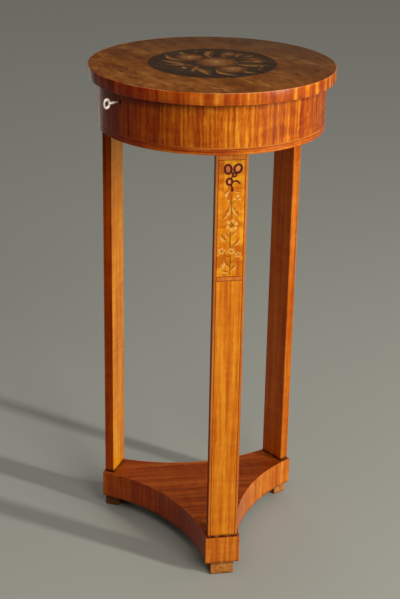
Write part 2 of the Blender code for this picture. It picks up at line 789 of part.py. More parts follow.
for hand, middle in (("left", -HINGE_SPREAD), ("right", HINGE_SPREAD)):
    left = middle - HINGE_LENGTH / 2
    knuckle_lefts = [left + n * (KNUCKLE_LENGTH + SEAT) for n in range(3)]
    bore = knuckle(f"hinge_bore_{hand}", left - SEAT, HINGE_BORE_RADIUS, HINGE_LENGTH + 2 * SEAT)
    gaps = [
        knuckle(f"hinge_gap_{hand}_{n}", at - SEAT, GROOVE_RADIUS, KNUCKLE_LENGTH + 2 * SEAT)
        for n, at in enumerate(knuckle_lefts)
    ]
    barrels = [
        knuckle(f"hinge_knuckle_{hand}_{n}", at, KNUCKLE_RADIUS, KNUCKLE_LENGTH)
        for n, at in enumerate(knuckle_lefts)
    ]
    table_name = f"hinge_table_leaf_{hand}"
    lid_name = f"hinge_lid_leaf_{hand}"
    table_leaf = place(table_name, leaf(table_name, left, RIM - HINGE_LEAF_THICKNESS), HINGE_BRASS)
    lid_leaf = on_lid(lid_name, leaf(lid_name, left, LID_BOTTOM), HINGE_BRASS)
    cut(table_leaf, gaps[1])
    fuse(table_leaf, barrels[0], barrels[2])
    cut(table_leaf, bore)
    cut(lid_leaf, gaps[0], gaps[2])
    fuse(lid_leaf, barrels[1])
    cut(lid_leaf, bore)
    pin = rod(
        f"hinge_pin_{hand}",
        (left, HINGE_Y, HINGE_Z),
        (left + HINGE_LENGTH, HINGE_Y, HINGE_Z),
        HINGE_PIN_RADIUS,
    )
    place(f"hinge_pin_{hand}", pin, HINGE_BRASS)
    rim_pocket = leaf_pocket(f"rim_pocket_{hand}", left, RIM - HINGE_LEAF_THICKNESS - SEAT)
    cut(frieze_ring, rim_pocket)
    cut(frieze_veneer, rim_pocket)
    lid_pocket = leaf_pocket(f"lid_pocket_{hand}", left, LID_BOTTOM - SEAT)
    groove = knuckle(f"knuckle_groove_{hand}", left - SEAT, GROOVE_RADIUS, HINGE_LENGTH + 2 * SEAT)
    cut(lid_board, lid_pocket, groove)
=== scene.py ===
"""Looks of the round work table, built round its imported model.

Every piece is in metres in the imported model's frame: the floor is z = 0 and the lock faces -Y.
"""

import json
import math

import bmesh
import bpy
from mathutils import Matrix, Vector

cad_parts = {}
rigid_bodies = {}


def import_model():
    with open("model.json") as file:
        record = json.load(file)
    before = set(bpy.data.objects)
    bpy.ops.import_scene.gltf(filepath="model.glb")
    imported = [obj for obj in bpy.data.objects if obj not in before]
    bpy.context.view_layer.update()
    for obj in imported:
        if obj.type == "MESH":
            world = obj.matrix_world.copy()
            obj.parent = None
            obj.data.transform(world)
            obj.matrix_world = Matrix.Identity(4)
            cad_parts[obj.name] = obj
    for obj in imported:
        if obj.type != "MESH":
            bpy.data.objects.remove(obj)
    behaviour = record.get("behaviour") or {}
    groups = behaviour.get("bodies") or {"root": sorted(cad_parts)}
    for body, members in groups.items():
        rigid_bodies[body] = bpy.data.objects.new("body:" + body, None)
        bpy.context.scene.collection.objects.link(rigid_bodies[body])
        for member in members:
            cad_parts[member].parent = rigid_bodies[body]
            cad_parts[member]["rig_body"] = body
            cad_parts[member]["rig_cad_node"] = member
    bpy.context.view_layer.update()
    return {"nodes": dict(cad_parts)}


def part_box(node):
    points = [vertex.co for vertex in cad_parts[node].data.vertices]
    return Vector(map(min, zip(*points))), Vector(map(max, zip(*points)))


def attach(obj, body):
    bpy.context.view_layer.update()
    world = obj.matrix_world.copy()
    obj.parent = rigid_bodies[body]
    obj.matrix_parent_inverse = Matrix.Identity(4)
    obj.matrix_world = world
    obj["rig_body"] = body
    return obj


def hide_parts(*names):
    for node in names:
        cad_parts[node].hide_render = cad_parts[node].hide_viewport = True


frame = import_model()
NODES = frame["nodes"]
MM = 0.001
ROUND_STEPS = 256
THIRD = math.radians(120)
LEG_TURNS = {"back": 0.0, "right": -THIRD, "left": THIRD}

# Sizes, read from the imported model
rim_low, rim_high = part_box("lid_edge_band")
LID_RADIUS, LID_BOTTOM, LID_TOP = rim_high.x, rim_low.z, rim_high.z
top_low, top_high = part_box("lid_top_veneer")
TOP_RADIUS, VENEER = top_high.x, top_high.z - top_low.z
MEDALLION_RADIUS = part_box("lid_medallion")[1].x
drum_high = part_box("frieze_veneer")[1]
DRUM_RADIUS, RIM = drum_high.x, drum_high.z
line_low, line_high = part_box("frieze_string")
DRUM_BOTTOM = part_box("frieze_lower_band")[0].z
panel_low, panel_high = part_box("leg_panel_back")
face_low, face_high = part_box("leg_face_back")
LEG_FACE, LEG_HALF = panel_high.y, panel_high.x
LEG_INNER_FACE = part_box("leg_back")[0].y
PLATFORM_TOP, PLATFORM_BOTTOM = face_low.z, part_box("platform_core")[0].z
key_low, key_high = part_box("key")
pin_low, pin_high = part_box("lock_pin")
KEY_AXIS = pin_low.z / 2 + pin_high.z / 2


def heading(degrees):
    """A level direction, by its angle from X."""
    return (math.cos(math.radians(degrees)), math.sin(math.radians(degrees)), 0)


# Shader helpers

def shade(red, green, blue):
    """A colour as it is read off a screen, as the shader wants it."""
    return tuple(
        v / 12.92 if v <= 0.04045 else ((v + 0.055) / 1.055) ** 2.4
        for v in (red / 255, green / 255, blue / 255)
    ) + (1.0,)


def add(tree, kind, inputs=None, **settings):
    """A node with its settings, its inputs linked or set."""
    made = tree.nodes.new("ShaderNode" + kind)
    for key, value in settings.items():
        setattr(made, key, value)
    for socket, value in (inputs or {}).items():
        if isinstance(value, bpy.types.NodeSocket):
            tree.links.new(value, made.inputs[socket])
        else:
            made.inputs[socket].default_value = value
    return made


def sums(tree, operation, first, second=0.0, clamp=False):
    return add(tree, "Math", {0: first, 1: second}, operation=operation, use_clamp=clamp).outputs[0]


def vectors(tree, operation, first, second):
    return add(tree, "VectorMath", {0: first, 1: second}, operation=operation).outputs[0]


def dot(tree, vector, way):
    return add(tree, "VectorMath", {0: vector, 1: way}, operation="DOT_PRODUCT").outputs["Value"]


def noise(tree, vector, scale, detail=2.0, rough=0.5):
    inputs = {"Vector": vector, "Scale": scale, "Detail": detail, "Roughness": rough}
    return add(tree, "TexNoise", inputs).outputs


def remap(tree, value, low, high, to_low=0.0, to_high=1.0):
    inputs = {0: value, 1: low, 2: high, 3: to_low, 4: to_high}
    return add(tree, "MapRange", inputs).outputs[0]


def blend(tree, share, first, second, how="MIX"):
    inputs = {0: share, 6: first, 7: second}
    return add(tree, "Mix", inputs, data_type="RGBA", blend_type=how).outputs[2]


def ramp(tree, value, tones):
    """Tones along a value: the place of each from 0 to 1, and its colour as read off a screen."""
    node = add(tree, "ValToRGB", {0: value})
    stops = node.color_ramp.elements
    while len(stops) < len(tones):
        stops.new(0.5)
    for stop, (place, *colour) in zip(stops, tones):
        stop.position = place
        stop.color = shade(*colour)
    return node.outputs[0]


def new_group(name, takes, gives):
    """A shader node group with named sockets; floats unless a kind is given."""
    tree = bpy.data.node_groups.new(name, "ShaderNodeTree")
    for way, sockets in (("INPUT", takes), ("OUTPUT", gives)):
        for socket in sockets:
            socket, kind = socket if isinstance(socket, tuple) else (socket, "Float")
            tree.interface.new_socket(socket, in_out=way, socket_type="NodeSocket" + kind)
    return tree, tree.nodes.new("NodeGroupInput").outputs, tree.nodes.new("NodeGroupOutput").inputs


def use(tree, group, **inputs):
    """A group placed in a material, with its own values."""
    return add(tree, "Group", inputs, node_tree=group).outputs


# Effects that several finishes share

# The window's side, and the tint of the painted shade on the faces turned from it
WINDOW_SIDE = heading(-5)
SHADED_TINT = (0.81, 0.37, 0.17, 1)
HALF = (0.5, 0.5, 0.5)
FIBRES = (1900, 1900, 28)
PORES = (1250, 1250, 95)


def make_straight_grain():
    """Ribbon stripes, fibres and pores that run along Z of the vector."""
    tree, take, give = new_group(
        "straight_grain", [("Vector", "Vector"), "Across", "Along", "Waver"], ["Stripe", "Fibre", "Pore"]
    )
    sway = vectors(tree, "SUBTRACT", noise(tree, take["Vector"], 9.0, 1.0)["Color"], HALF)
    waver = add(tree, "CombineXYZ", {0: take["Waver"], 1: take["Waver"], 2: take["Waver"]}).outputs[0]
    moved = vectors(tree, "ADD", take["Vector"], vectors(tree, "MULTIPLY", sway, waver))
    quiver = vectors(tree, "SUBTRACT", noise(tree, take["Vector"], 85.0, 1.0)["Color"], HALF)
    quiver = vectors(tree, "MULTIPLY", quiver, vectors(tree, "MULTIPLY", waver, (0.6, 0.6, 0.6)))
    moved = vectors(tree, "ADD", moved, quiver)
    density = add(tree, "CombineXYZ", {0: take["Across"], 1: take["Across"], 2: take["Along"]}).outputs[0]
    drawn = vectors(tree, "MULTIPLY", moved, density)
    broad = noise(tree, drawn, 0.3, 1.0)["Fac"]
    ribbon = noise(tree, drawn, 1.0, 1.5)["Fac"]
    fine = noise(tree, drawn, 3.4, 2.0)["Fac"]
    mixed = sums(tree, "ADD", sums(tree, "MULTIPLY", broad, 0.25), sums(tree, "MULTIPLY", ribbon, 0.53))
    mixed = sums(tree, "ADD", mixed, sums(tree, "MULTIPLY", fine, 0.22))
    tree.links.new(remap(tree, mixed, 0.37, 0.63), give["Stripe"])
    fibres = noise(tree, vectors(tree, "MULTIPLY", moved, FIBRES), 1.0, 2.0)["Fac"]
    tree.links.new(remap(tree, fibres, 0.3, 0.7), give["Fibre"])
    pores = noise(tree, vectors(tree, "MULTIPLY", moved, PORES), 1.0, 1.0)["Fac"]
    tree.links.new(remap(tree, pores, 0.62, 0.72), give["Pore"])
    return tree


def make_cross_figure():
    """The soft ripple that crosses the grain of a polished veneer."""
    tree, take, give = new_group("cross_figure", [("Vector", "Vector"), "Density"], ["Figure"])
    drawn = vectors(tree, "MULTIPLY", take["Vector"], (0.35, 0.35, 1.0))
    ripple = add(
        tree, "TexNoise", {"Vector": drawn, "Scale": take["Density"], "Detail": 2.0, "Distortion": 0.6}
    ).outputs["Fac"]
    tree.links.new(remap(tree, ripple, 0.35, 0.65), give["Figure"])
    return tree


def make_aged_polish():
    """Old polish: its gloss wanders where hands and cloths have been."""
    tree, take, give = new_group(
        "aged_polish", [("Vector", "Vector"), "Gloss", "Wander"], ["Roughness", "Coat"]
    )
    smears = noise(tree, take["Vector"], 16.0, 4.0, 0.6)["Fac"]
    drift = sums(tree, "MULTIPLY", sums(tree, "SUBTRACT", smears, 0.5), take["Wander"])
    tree.links.new(sums(tree, "ADD", take["Gloss"], drift, clamp=True), give["Roughness"])
    tree.links.new(remap(tree, smears, 0.3, 0.75, 0.15, 0.04), give["Coat"])
    return tree


def make_level_tint(name, tint, grit, *patches):
    """A tint in patches along a level, gone within some reach of it."""
    tree, take, give = new_group(
        name,
        [("Colour", "Color"), ("Vector", "Vector"), "Level", "Reach", "Strength"],
        [("Colour", "Color")],
    )
    height = add(tree, "SeparateXYZ", {0: take["Vector"]}).outputs[2]
    away = sums(tree, "ABSOLUTE", sums(tree, "SUBTRACT", height, take["Level"]))
    close = sums(tree, "SUBTRACT", 1.0, sums(tree, "DIVIDE", away, take["Reach"]), clamp=True)
    patchy = remap(tree, noise(tree, take["Vector"], *grit)["Fac"], *patches)
    share = sums(tree, "MULTIPLY", sums(tree, "MULTIPLY", close, patchy), take["Strength"], clamp=True)
    tree.links.new(blend(tree, share, take["Colour"], tint), give["Colour"])
    return tree


def make_painted_window_shade():
    """Painted shade: the faces turned from the window are painted a deeper, redder tone, and those facing it
    keep their own.
    """
    tree, take, give = new_group(
        "shade_turned_from_window", [("Colour", "Color"), ("Normal", "Vector"), "Strength"], [("Colour", "Color")]
    )
    facing = dot(tree, take["Normal"], WINDOW_SIDE)
    turned_away = sums(tree, "MULTIPLY", remap(tree, facing, 0.85, 0.3), remap(tree, facing, -1.0, -0.3, 0.35, 1.0))
    share = sums(tree, "MULTIPLY", turned_away, take["Strength"], clamp=True)
    shaded_colour = blend(tree, 1.0, take["Colour"], SHADED_TINT, "MULTIPLY")
    tree.links.new(blend(tree, share, take["Colour"], shaded_colour), give["Colour"])
    return tree


STRAIGHT_GRAIN = make_straight_grain()
CROSS_FIGURE = make_cross_figure()
AGED_POLISH = make_aged_polish()
PAINTED_WINDOW_SHADE = make_painted_window_shade()
# Darkening along a level, partly dark polish and dust and partly painted shade under overhangs and where parts
# stand on each other; and a pale band along an arris, partly rubbed wear and partly painted highlight
DUST_AND_PAINTED_SHADE = make_level_tint("dust_and_painted_shade", shade(34, 14, 6), (90.0, 3.0), 0.3, 0.6, 0.5, 1.0)
RUBBED_AND_HIGHLIT_ARRIS = make_level_tint("rubbed_and_highlit_arris", shade(232, 178, 112), (38.0, 4.0, 0.6), 0.36, 0.6)


# Finishes

ROUND_THE_DRUM = "round"
SHEEN = 0.22
PORE_SHARE = 0.35
# The side of the lid's top that is painted greyer, and its grey: a painted reflection of the grey surroundings
REFLECTING_SIDE, REFLECTED_GREY = heading(110), shade(88, 69, 52)
SHANK_SHADE = shade(64, 50, 38)


def new_finish(name):
    made = bpy.data.materials.new(name)
    made.use_nodes = True
    tree = made.node_tree
    place = add(tree, "TexCoord").outputs["Object"]
    return made, tree, tree.nodes["Principled BSDF"], place


def unrolled(tree, place):
    """Coordinates round the table's axis: off the axis, up, and along the curve."""
    x, y, z = add(tree, "SeparateXYZ", {0: place}).outputs
    flat = add(tree, "CombineXYZ", {0: x, 1: y}).outputs[0]
    off = add(tree, "VectorMath", {0: flat}, operation="LENGTH").outputs["Value"]
    curve = sums(tree, "MULTIPLY", sums(tree, "ARCTAN2", y, x), DRUM_RADIUS)
    return add(tree, "CombineXYZ", {0: off, 1: z, 2: curve}).outputs[0]


def wood(
    name, tones, across, length, waver=0.002, figure=0.12, gloss=0.3, grain=(0, 0, 1), shift=(0, 0, 0),
    window_shading=0.0, dust_and_shade=(), worn=(), sheen=SHEEN, coat_rough=0.16, polished=True,
):
    """A straight-grained wood along a direction, darkened at some levels by dust and painted shade, pale along
    some arrises by rubbed wear and painted highlight, and with painted shade on the faces turned from the
    window where asked.
    """
    made, tree, shader, place = new_finish(name)
    if grain == ROUND_THE_DRUM:
        drawn = unrolled(tree, place)
    else:
        turn = Vector(grain).rotation_difference(Vector((0, 0, 1))).to_euler()
        drawn = add(tree, "Mapping", {"Vector": place, "Rotation": turn, "Location": shift}).outputs[0]
    lines = use(tree, STRAIGHT_GRAIN, Vector=drawn, Across=across, Along=length, Waver=waver)
    ripple = use(tree, CROSS_FIGURE, Vector=drawn, Density=70.0)
    tone = sums(tree, "ADD", lines["Stripe"], remap(tree, ripple["Figure"], 0, 1, -figure, figure), clamp=True)
    colour = ramp(tree, tone, tones)
    fibre = remap(tree, lines["Fibre"], 0, 1, 0.88, 1.06)
    colour = blend(tree, 1.0, colour, fibre, "MULTIPLY")
    pore = sums(tree, "MULTIPLY", lines["Pore"], PORE_SHARE)
    colour = blend(tree, pore, colour, shade(*tones[0][1:]), "MULTIPLY")
    # Painted shade on the faces turned from the window
    if window_shading:
        outwards = add(tree, "TexCoord").outputs["Normal"]
        colour = use(tree, PAINTED_WINDOW_SHADE, Colour=colour, Normal=outwards, Strength=window_shading)["Colour"]
    for tint, levels in ((DUST_AND_PAINTED_SHADE, dust_and_shade), (RUBBED_AND_HIGHLIT_ARRIS, worn)):
        for level, reach, strength in levels:
            colour = use(
                tree, tint, Colour=colour, Vector=place, Level=level, Reach=reach, Strength=strength
            )["Colour"]
    tree.links.new(colour, shader.inputs["Base Color"])
    polish = use(tree, AGED_POLISH, Vector=place, Gloss=gloss, Wander=0.16)
    tree.links.new(polish["Roughness"], shader.inputs["Roughness"])
    shader.inputs["Specular IOR Level"].default_value = sheen
    if polished:
        tree.links.new(polish["Coat"], shader.inputs["Coat Weight"])
        shader.inputs["Coat Roughness"].default_value = coat_rough
    relief = sums(tree, "SUBTRACT", sums(tree, "MULTIPLY", lines["Fibre"], 0.3), lines["Pore"])
    bump = add(tree, "Bump", {"Height": relief, "Strength": 0.12, "Distance": 0.0004})
    tree.links.new(bump.outputs[0], shader.inputs["Normal"])
    return made


def mottled_wood(name, tones, grain):
    """A figured veneer: clouds drawn out along the grain, with fine fibres."""
    made, tree, shader, place = new_finish(name)
    turn = Vector(grain).rotation_difference(Vector((0, 0, 1))).to_euler()
    drawn = add(tree, "Mapping", {"Vector": place, "Rotation": turn}).outputs[0]
    stretched = vectors(tree, "MULTIPLY", drawn, (1.0, 1.0, 0.7))
    cloud, fleck = (
        add(
            tree, "TexNoise", {"Vector": stretched, "Scale": scale, "Detail": detail, "Distortion": 1.2}
        ).outputs["Fac"]
        for scale, detail in ((14.0, 3.0), (62.0, 5.0))
    )
    lines = use(tree, STRAIGHT_GRAIN, Vector=drawn, Across=150.0, Along=9.0, Waver=0.008)
    tone = sums(tree, "ADD", sums(tree, "MULTIPLY", cloud, 0.45), sums(tree, "MULTIPLY", fleck, 0.46))
    tone = sums(tree, "ADD", tone, sums(tree, "MULTIPLY", lines["Stripe"], 0.09))
    colour = ramp(tree, remap(tree, tone, 0.3, 0.66), tones)
    colour = blend(tree, 1.0, colour, remap(tree, lines["Fibre"], 0, 1, 0.86, 1.06), "MULTIPLY")
    # Painted reflection: the top is painted greyer towards its far side
    towards = dot(tree, place, REFLECTING_SIDE)
    patchy = sums(tree, "MULTIPLY", sums(tree, "SUBTRACT", cloud, 0.5), 0.1)
    reflection_share = remap(tree, sums(tree, "ADD", towards, patchy), -0.08, 0.17, 0.0, 0.68)
    colour = blend(tree, reflection_share, colour, REFLECTED_GREY)
    tree.links.new(colour, shader.inputs["Base Color"])
    polish = use(tree, AGED_POLISH, Vector=place, Gloss=0.34, Wander=0.2)
    tree.links.new(polish["Roughness"], shader.inputs["Roughness"])
    tree.links.new(polish["Coat"], shader.inputs["Coat Weight"])
    shader.inputs["Specular IOR Level"].default_value = SHEEN
    shader.inputs["Coat Roughness"].default_value = 0.2
    bump = add(tree, "Bump", {"Height": lines["Fibre"], "Strength": 0.06, "Distance": 0.0003})
    tree.links.new(bump.outputs[0], shader.inputs["Normal"])
    return made


def metal(name, colour, tarnish, gloss, spread, metallic=1.0, shade_along_y=None):
    """Handled metal: fine scratches, and tarnish in patches; painted shade between two places along Y, where
    given.
    """
    made, tree, shader, place = new_finish(name)
    patches = remap(tree, noise(tree, place, 160.0, 5.0, 0.65)["Fac"], 0.5 - spread, 0.75)
    fine = noise(tree, vectors(tree, "MULTIPLY", place, (900, 5200, 5200)), 1.0, 2.0)["Fac"]
    tone = blend(tree, patches, colour, tarnish)
    if shade_along_y:
        inwards = add(tree, "SeparateXYZ", {0: place}).outputs[1]
        tone = blend(tree, remap(tree, inwards, *shade_along_y), tone, SHANK_SHADE)
    tree.links.new(tone, shader.inputs["Base Color"])
    rough = remap(tree, fine, 0.3, 0.7, gloss, gloss + 0.1)
    rough = sums(tree, "ADD", rough, sums(tree, "MULTIPLY", patches, 0.22))
    tree.links.new(rough, shader.inputs["Roughness"])
    shader.inputs["Metallic"].default_value = metallic
    bump = add(tree, "Bump", {"Height": fine, "Strength": 0.08, "Distance": 0.0001})
    tree.links.new(bump.outputs[0], shader.inputs["Normal"])
    return made


# The tones of each wood, from its dark lines to its bright ones
GOLDEN = [(0.0, 146, 56, 4), (0.38, 184, 86, 8), (0.68, 208, 114, 15), (1.0, 230, 146, 34)]
RUDDY = [(0.0, 142, 48, 5), (0.4, 182, 80, 10), (0.7, 206, 108, 19), (1.0, 230, 148, 46)]
RED = [(0.0, 126, 40, 4), (0.38, 164, 66, 8), (0.68, 188, 90, 14), (1.0, 212, 124, 30)]
BRIGHT = [(0.0, 194, 95, 10), (0.45, 219, 122, 18), (1.0, 237, 150, 36)]
LEAF_SHIFT = (0, 0, 0.5)
# Painted shade: the drum is painted dark for a few millimetres under the lid's overhang
SHADE_UNDER_LID = [(RIM, 0.0045, 1.0)]
FRIEZE = {"across": 210.0, "length": 8.0, "window_shading": 1.0, "waver": 0.006, "dust_and_shade": SHADE_UNDER_LID}
FRIEZE_WOOD = wood("frieze_wood", GOLDEN, shift=LEAF_SHIFT, **FRIEZE)
RED_FRIEZE_WOOD = wood("red_frieze_wood", RED, **FRIEZE)
# The pale band on the rim's top arris is partly rubbed wear and partly painted highlight
RIM_WOOD = wood(
    "lid_rim_wood", RUDDY, across=95.0, length=5.0, shift=LEAF_SHIFT, window_shading=1.5, waver=0.004, coat_rough=0.3,
    worn=[(LID_TOP, 0.0011, 0.45), (LID_BOTTOM, 0.0007, 0.2)],
)
BAND_WOOD = wood(
    "lower_band_wood", RUDDY, across=420.0, length=12.0, grain=ROUND_THE_DRUM, window_shading=1.0, figure=0.1,
    dust_and_shade=[(line_low.z, 0.0016, 0.5)],
)
# Painted shade at the legs' ends: a dark band where they stand on the platform, and darker just under the drum
LEG_WOOD = wood(
    "leg_wood", BRIGHT, across=190.0, length=7.0, waver=0.004, figure=0.1,
    dust_and_shade=[(PLATFORM_TOP, 0.0062, 1.5), (DRUM_BOTTOM, 0.004, 0.6)],
)
# The panels are also painted darker for some way down from the drum: painted shade
PANEL_WOOD = wood(
    "leg_panel_wood", [(0.0, 196, 97, 6), (0.5, 223, 131, 13), (1.0, 246, 166, 32)],
    across=150.0, length=9.0, waver=0.006, figure=0.4,
    dust_and_shade=[(DRUM_BOTTOM, 0.004, 0.6), (DRUM_BOTTOM, 0.06, 0.4)],
)
LEG_END_SHADE_AND_DUST = [(PLATFORM_TOP, 0.0068, 1.5), (DRUM_BOTTOM, 0.005, 0.6)]
LEG_SIDE_WOOD = wood(
    "leg_side_wood", [(0.0, 200, 106, 6), (0.45, 222, 134, 11), (1.0, 240, 163, 27)],
    across=130.0, length=5.0, waver=0.004, window_shading=0.75, dust_and_shade=LEG_END_SHADE_AND_DUST,
)
# A darker, redder copy of the leg wood for the legs' narrow sides: painted shade
SHADED_LEG_EDGE_WOOD = wood(
    "shaded_leg_edge_wood", [(0.0, 170, 76, 10), (0.45, 194, 98, 20), (1.0, 214, 126, 42)],
    across=130.0, length=5.0, waver=0.004, gloss=0.45, window_shading=1.6, dust_and_shade=LEG_END_SHADE_AND_DUST, sheen=0.08, polished=False,
)
# The pale edges take the same painted shade at the platform and under the drum
PALE_WOOD = wood(
    "pale_edge_wood", [(0.0, 194, 99, 26), (1.0, 217, 131, 48)], across=260.0, length=6.0,
    dust_and_shade=[(PLATFORM_TOP, 0.0062, 1.5), (DRUM_BOTTOM, 0.05, 0.3)],
)
LINE_WOOD = wood("dark_line_wood", [(0.0, 108, 42, 6), (1.0, 152, 70, 13)], across=700.0, length=8.0)
STRING_WOOD = wood(
    "pale_line_wood", [(0.0, 186, 98, 24), (1.0, 216, 138, 52)], across=600.0, length=14.0,
    grain=ROUND_THE_DRUM, window_shading=1.0,
)
SIDE_WOOD = wood(
    "platform_side_wood", [(0.0, 182, 82, 12), (0.5, 207, 110, 22), (1.0, 228, 142, 46)],
    across=190.0, length=6.0, window_shading=1.0, waver=0.004,
    dust_and_shade=[(PLATFORM_BOTTOM, 0.005, 0.6)], worn=[(PLATFORM_TOP, 0.0009, 0.16)],
)
# The feet are painted darker at the floor and under the platform, as painted shade; the left foot takes a
# darker copy of the wood, as painted shade
FOOT = {
    "across": 240.0, "length": 9.0, "grain": (1, 0, 0), "gloss": 0.42, "window_shading": 1.0,
    "dust_and_shade": [(0.0, 0.004, 0.8), (PLATFORM_BOTTOM, 0.006, 0.8)],
}
FOOT_WOOD = wood("foot_wood", [(0.0, 164, 94, 34), (1.0, 212, 140, 68)], **FOOT)
SHADED_FOOT_WOOD = wood("shaded_foot_wood", [(0.0, 110, 62, 22), (1.0, 142, 92, 44)], **FOOT)
PLATFORM_WOOD = wood(
    "platform_top_wood", [(0.0, 120, 45, 4), (0.5, 146, 62, 8), (1.0, 168, 82, 15)],
    across=120.0, length=5.0, waver=0.006, grain=heading(60), gloss=0.38,
)
CARCASE_WOOD = wood(
    "carcase_wood", [(0.0, 132, 92, 54), (0.5, 170, 126, 80), (1.0, 196, 154, 104)],
    across=110.0, length=4.0, waver=0.006, gloss=0.58, grain=(0, 1, 0), polished=False,
)
WALL_WOOD = wood(
    "well_wall_wood", [(0.0, 128, 84, 46), (0.5, 164, 116, 70), (1.0, 190, 144, 92)],
    across=220.0, length=3.0, waver=0.004, gloss=0.52, grain=ROUND_THE_DRUM, polished=False,
)
TOP_WOOD = mottled_wood(
    "figured_top_wood", [(0.0, 80, 39, 12), (0.42, 122, 66, 22), (0.72, 150, 88, 33), (1.0, 178, 114, 50)],
    heading(-10),
)
GROUND_WOOD = wood(
    "medallion_ground_wood", [(0.0, 52, 37, 27), (1.0, 86, 63, 47)], across=330.0,
    length=12.0, grain=(1, 0.3, 0), figure=0.1,
)
STEEL = metal("lock_steel", shade(168, 164, 156), shade(96, 84, 72), 0.34, 0.1)
# The key's shank is painted darker towards the drum: painted shade
KEY_STEEL = metal(
    "key_steel", shade(250, 242, 228), shade(216, 202, 182), 0.4, -0.02, metallic=0.35,
    shade_along_y=(key_low.y + 18 * MM, key_low.y + 28 * MM),
)
BRASS = metal("hinge_brass", shade(196, 158, 88), shade(112, 82, 40), 0.3, 0.06)


def inlay_wood(name, dark, light, grain=(0, 0, 1)):
    tones = [(0.0, *dark), (1.0, *light)]
    return wood(name, tones, across=420.0, length=24.0, figure=0.2, grain=grain)


RIBBON_WOOD = inlay_wood("ribbon_wood", (64, 14, 8), (98, 30, 16))
LOOP_WOOD = inlay_wood("ribbon_loop_wood", (196, 106, 42), (226, 150, 78))
SHADED_LOOP_WOOD = inlay_wood("ribbon_shaded_loop_wood", (170, 86, 42), (198, 114, 66))
STEM_WOOD = inlay_wood("trail_stem_wood", (146, 88, 10), (176, 116, 22))
SHADED_LEAF_WOOD = inlay_wood("trail_shaded_leaf_wood", (170, 82, 10), (198, 110, 20))
LIGHT_LEAF_WOOD = inlay_wood("trail_light_leaf_wood", (224, 146, 44), (242, 178, 80))
BLOSSOM_WOOD = inlay_wood("trail_blossom_wood", (228, 158, 58), (244, 186, 98))
ACROSS_LID = (0.6, 1, 0)
SPRAY_RED_WOOD = inlay_wood("spray_red_wood", (120, 71, 36), (150, 98, 55), ACROSS_LID)
SPRAY_DARK_WOOD = inlay_wood("spray_dark_wood", (92, 55, 32), (120, 76, 44), ACROSS_LID)
SPRAY_TAN_WOOD = inlay_wood("spray_tan_wood", (134, 84, 42), (168, 116, 66), ACROSS_LID)
SPRAY_CREAM_WOOD = inlay_wood("spray_cream_wood", (166, 122, 74), (196, 156, 106), ACROSS_LID)
SPRAY_LEAF_WOOD = inlay_wood("spray_leaf_wood", (76, 54, 26), (108, 78, 38), ACROSS_LID)


# Tools for modelling by hand

def only(*pieces):
    """Select just these pieces, the first of them active."""
    if bpy.context.mode != "OBJECT":
        bpy.ops.object.mode_set(mode="OBJECT")
    bpy.ops.object.select_all(action="DESELECT")
    for piece in pieces:
        piece.select_set(True)
    bpy.context.view_layer.objects.active = pieces[0]


def settle(name):
    """Name the newest object and put its place into its mesh."""
    obj = bpy.context.object
    obj.name = obj.data.name = name
    only(obj)
    bpy.ops.object.transform_apply(location=True, rotation=True, scale=True)
    return obj


def joined(name, *pieces):
    only(*pieces)
    bpy.ops.object.join()
    return settle(name)


def edit(obj):
    only(obj)
    bpy.ops.object.mode_set(mode="EDIT")


def pick(kind, test):
    """In edit mode, select just the faces or edges that pass a test."""
    bpy.ops.mesh.select_mode(type=kind)
    bpy.ops.mesh.select_all(action="DESELECT")
    mesh = bpy.context.object.data
    bm = bmesh.from_edit_mesh(mesh)
    for part in {"FACE": bm.faces, "EDGE": bm.edges}[kind]:
        if test(part):
            part.select_set(True)
    bm.select_flush_mode()
    bmesh.update_edit_mesh(mesh)


def ease(width, segments, test):
    """In edit mode, round the edges whose two ends pass a test."""
    pick("EDGE", lambda edge: all(test(point.co) for point in edge.verts))
    bpy.ops.mesh.bevel(offset=width, segments=segments, affect="EDGES")


def leave(obj, angle=30):
    """Back to object mode, with faces outwards and round surfaces smooth."""
    bpy.ops.mesh.select_all(action="SELECT")
    bpy.ops.mesh.normals_make_consistent(inside=False)
    bpy.ops.object.mode_set(mode="OBJECT")
    only(obj)
    bpy.ops.object.shade_smooth_by_angle(angle=math.radians(angle))
    return obj


def soften(obj, width, segments, test):
    """Round the arrises of a piece whose two ends pass a test."""
    edit(obj)
    ease(width, segments, test)
    leave(obj)


def near(value, other):
    return abs(value - other) < 0.02 * MM


def apply_modifier(obj, kind, **settings):
    step = obj.modifiers.new(kind.lower(), kind)
    for key, value in settings.items():
        setattr(step, key, value)
    only(obj)
    bpy.ops.object.modifier_apply(modifier=step.name)


def coat(obj, finishes):
    obj.data.materials.clear()
    for finish in finishes:
        obj.data.materials.append(finish)


def dress(obj, body, slot, finishes, *stands_for):
    """Give a piece its finishes and its body, and hide the nodes it stands for; its slot is not used."""
    if list(obj.data.materials) != finishes:
        coat(obj, finishes)
    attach(obj, body)
    if stands_for:
        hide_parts(*stands_for)


def round_band(name, inside, outside, bottom, top, arris=0.0):
    """A ring of veneer, its outer arrises rounded where a width is given."""
    bpy.ops.mesh.primitive_cylinder_add(
        vertices=ROUND_STEPS, radius=outside, depth=top - bottom, location=(0, 0, (top + bottom) / 2)
    )
    obj = settle(name)
    edit(obj)
    pick("FACE", lambda face: abs(face.normal.z) > 0.9)
    bpy.ops.mesh.inset(thickness=outside - inside, use_individual=True)
    bpy.ops.mesh.bridge_edge_loops()
    if arris:
        for level in (bottom, top):
            ease(arris, 3, lambda at: near(at.z, level) and at.xy.length > outside - 0.1 * MM)
    return leave(obj)


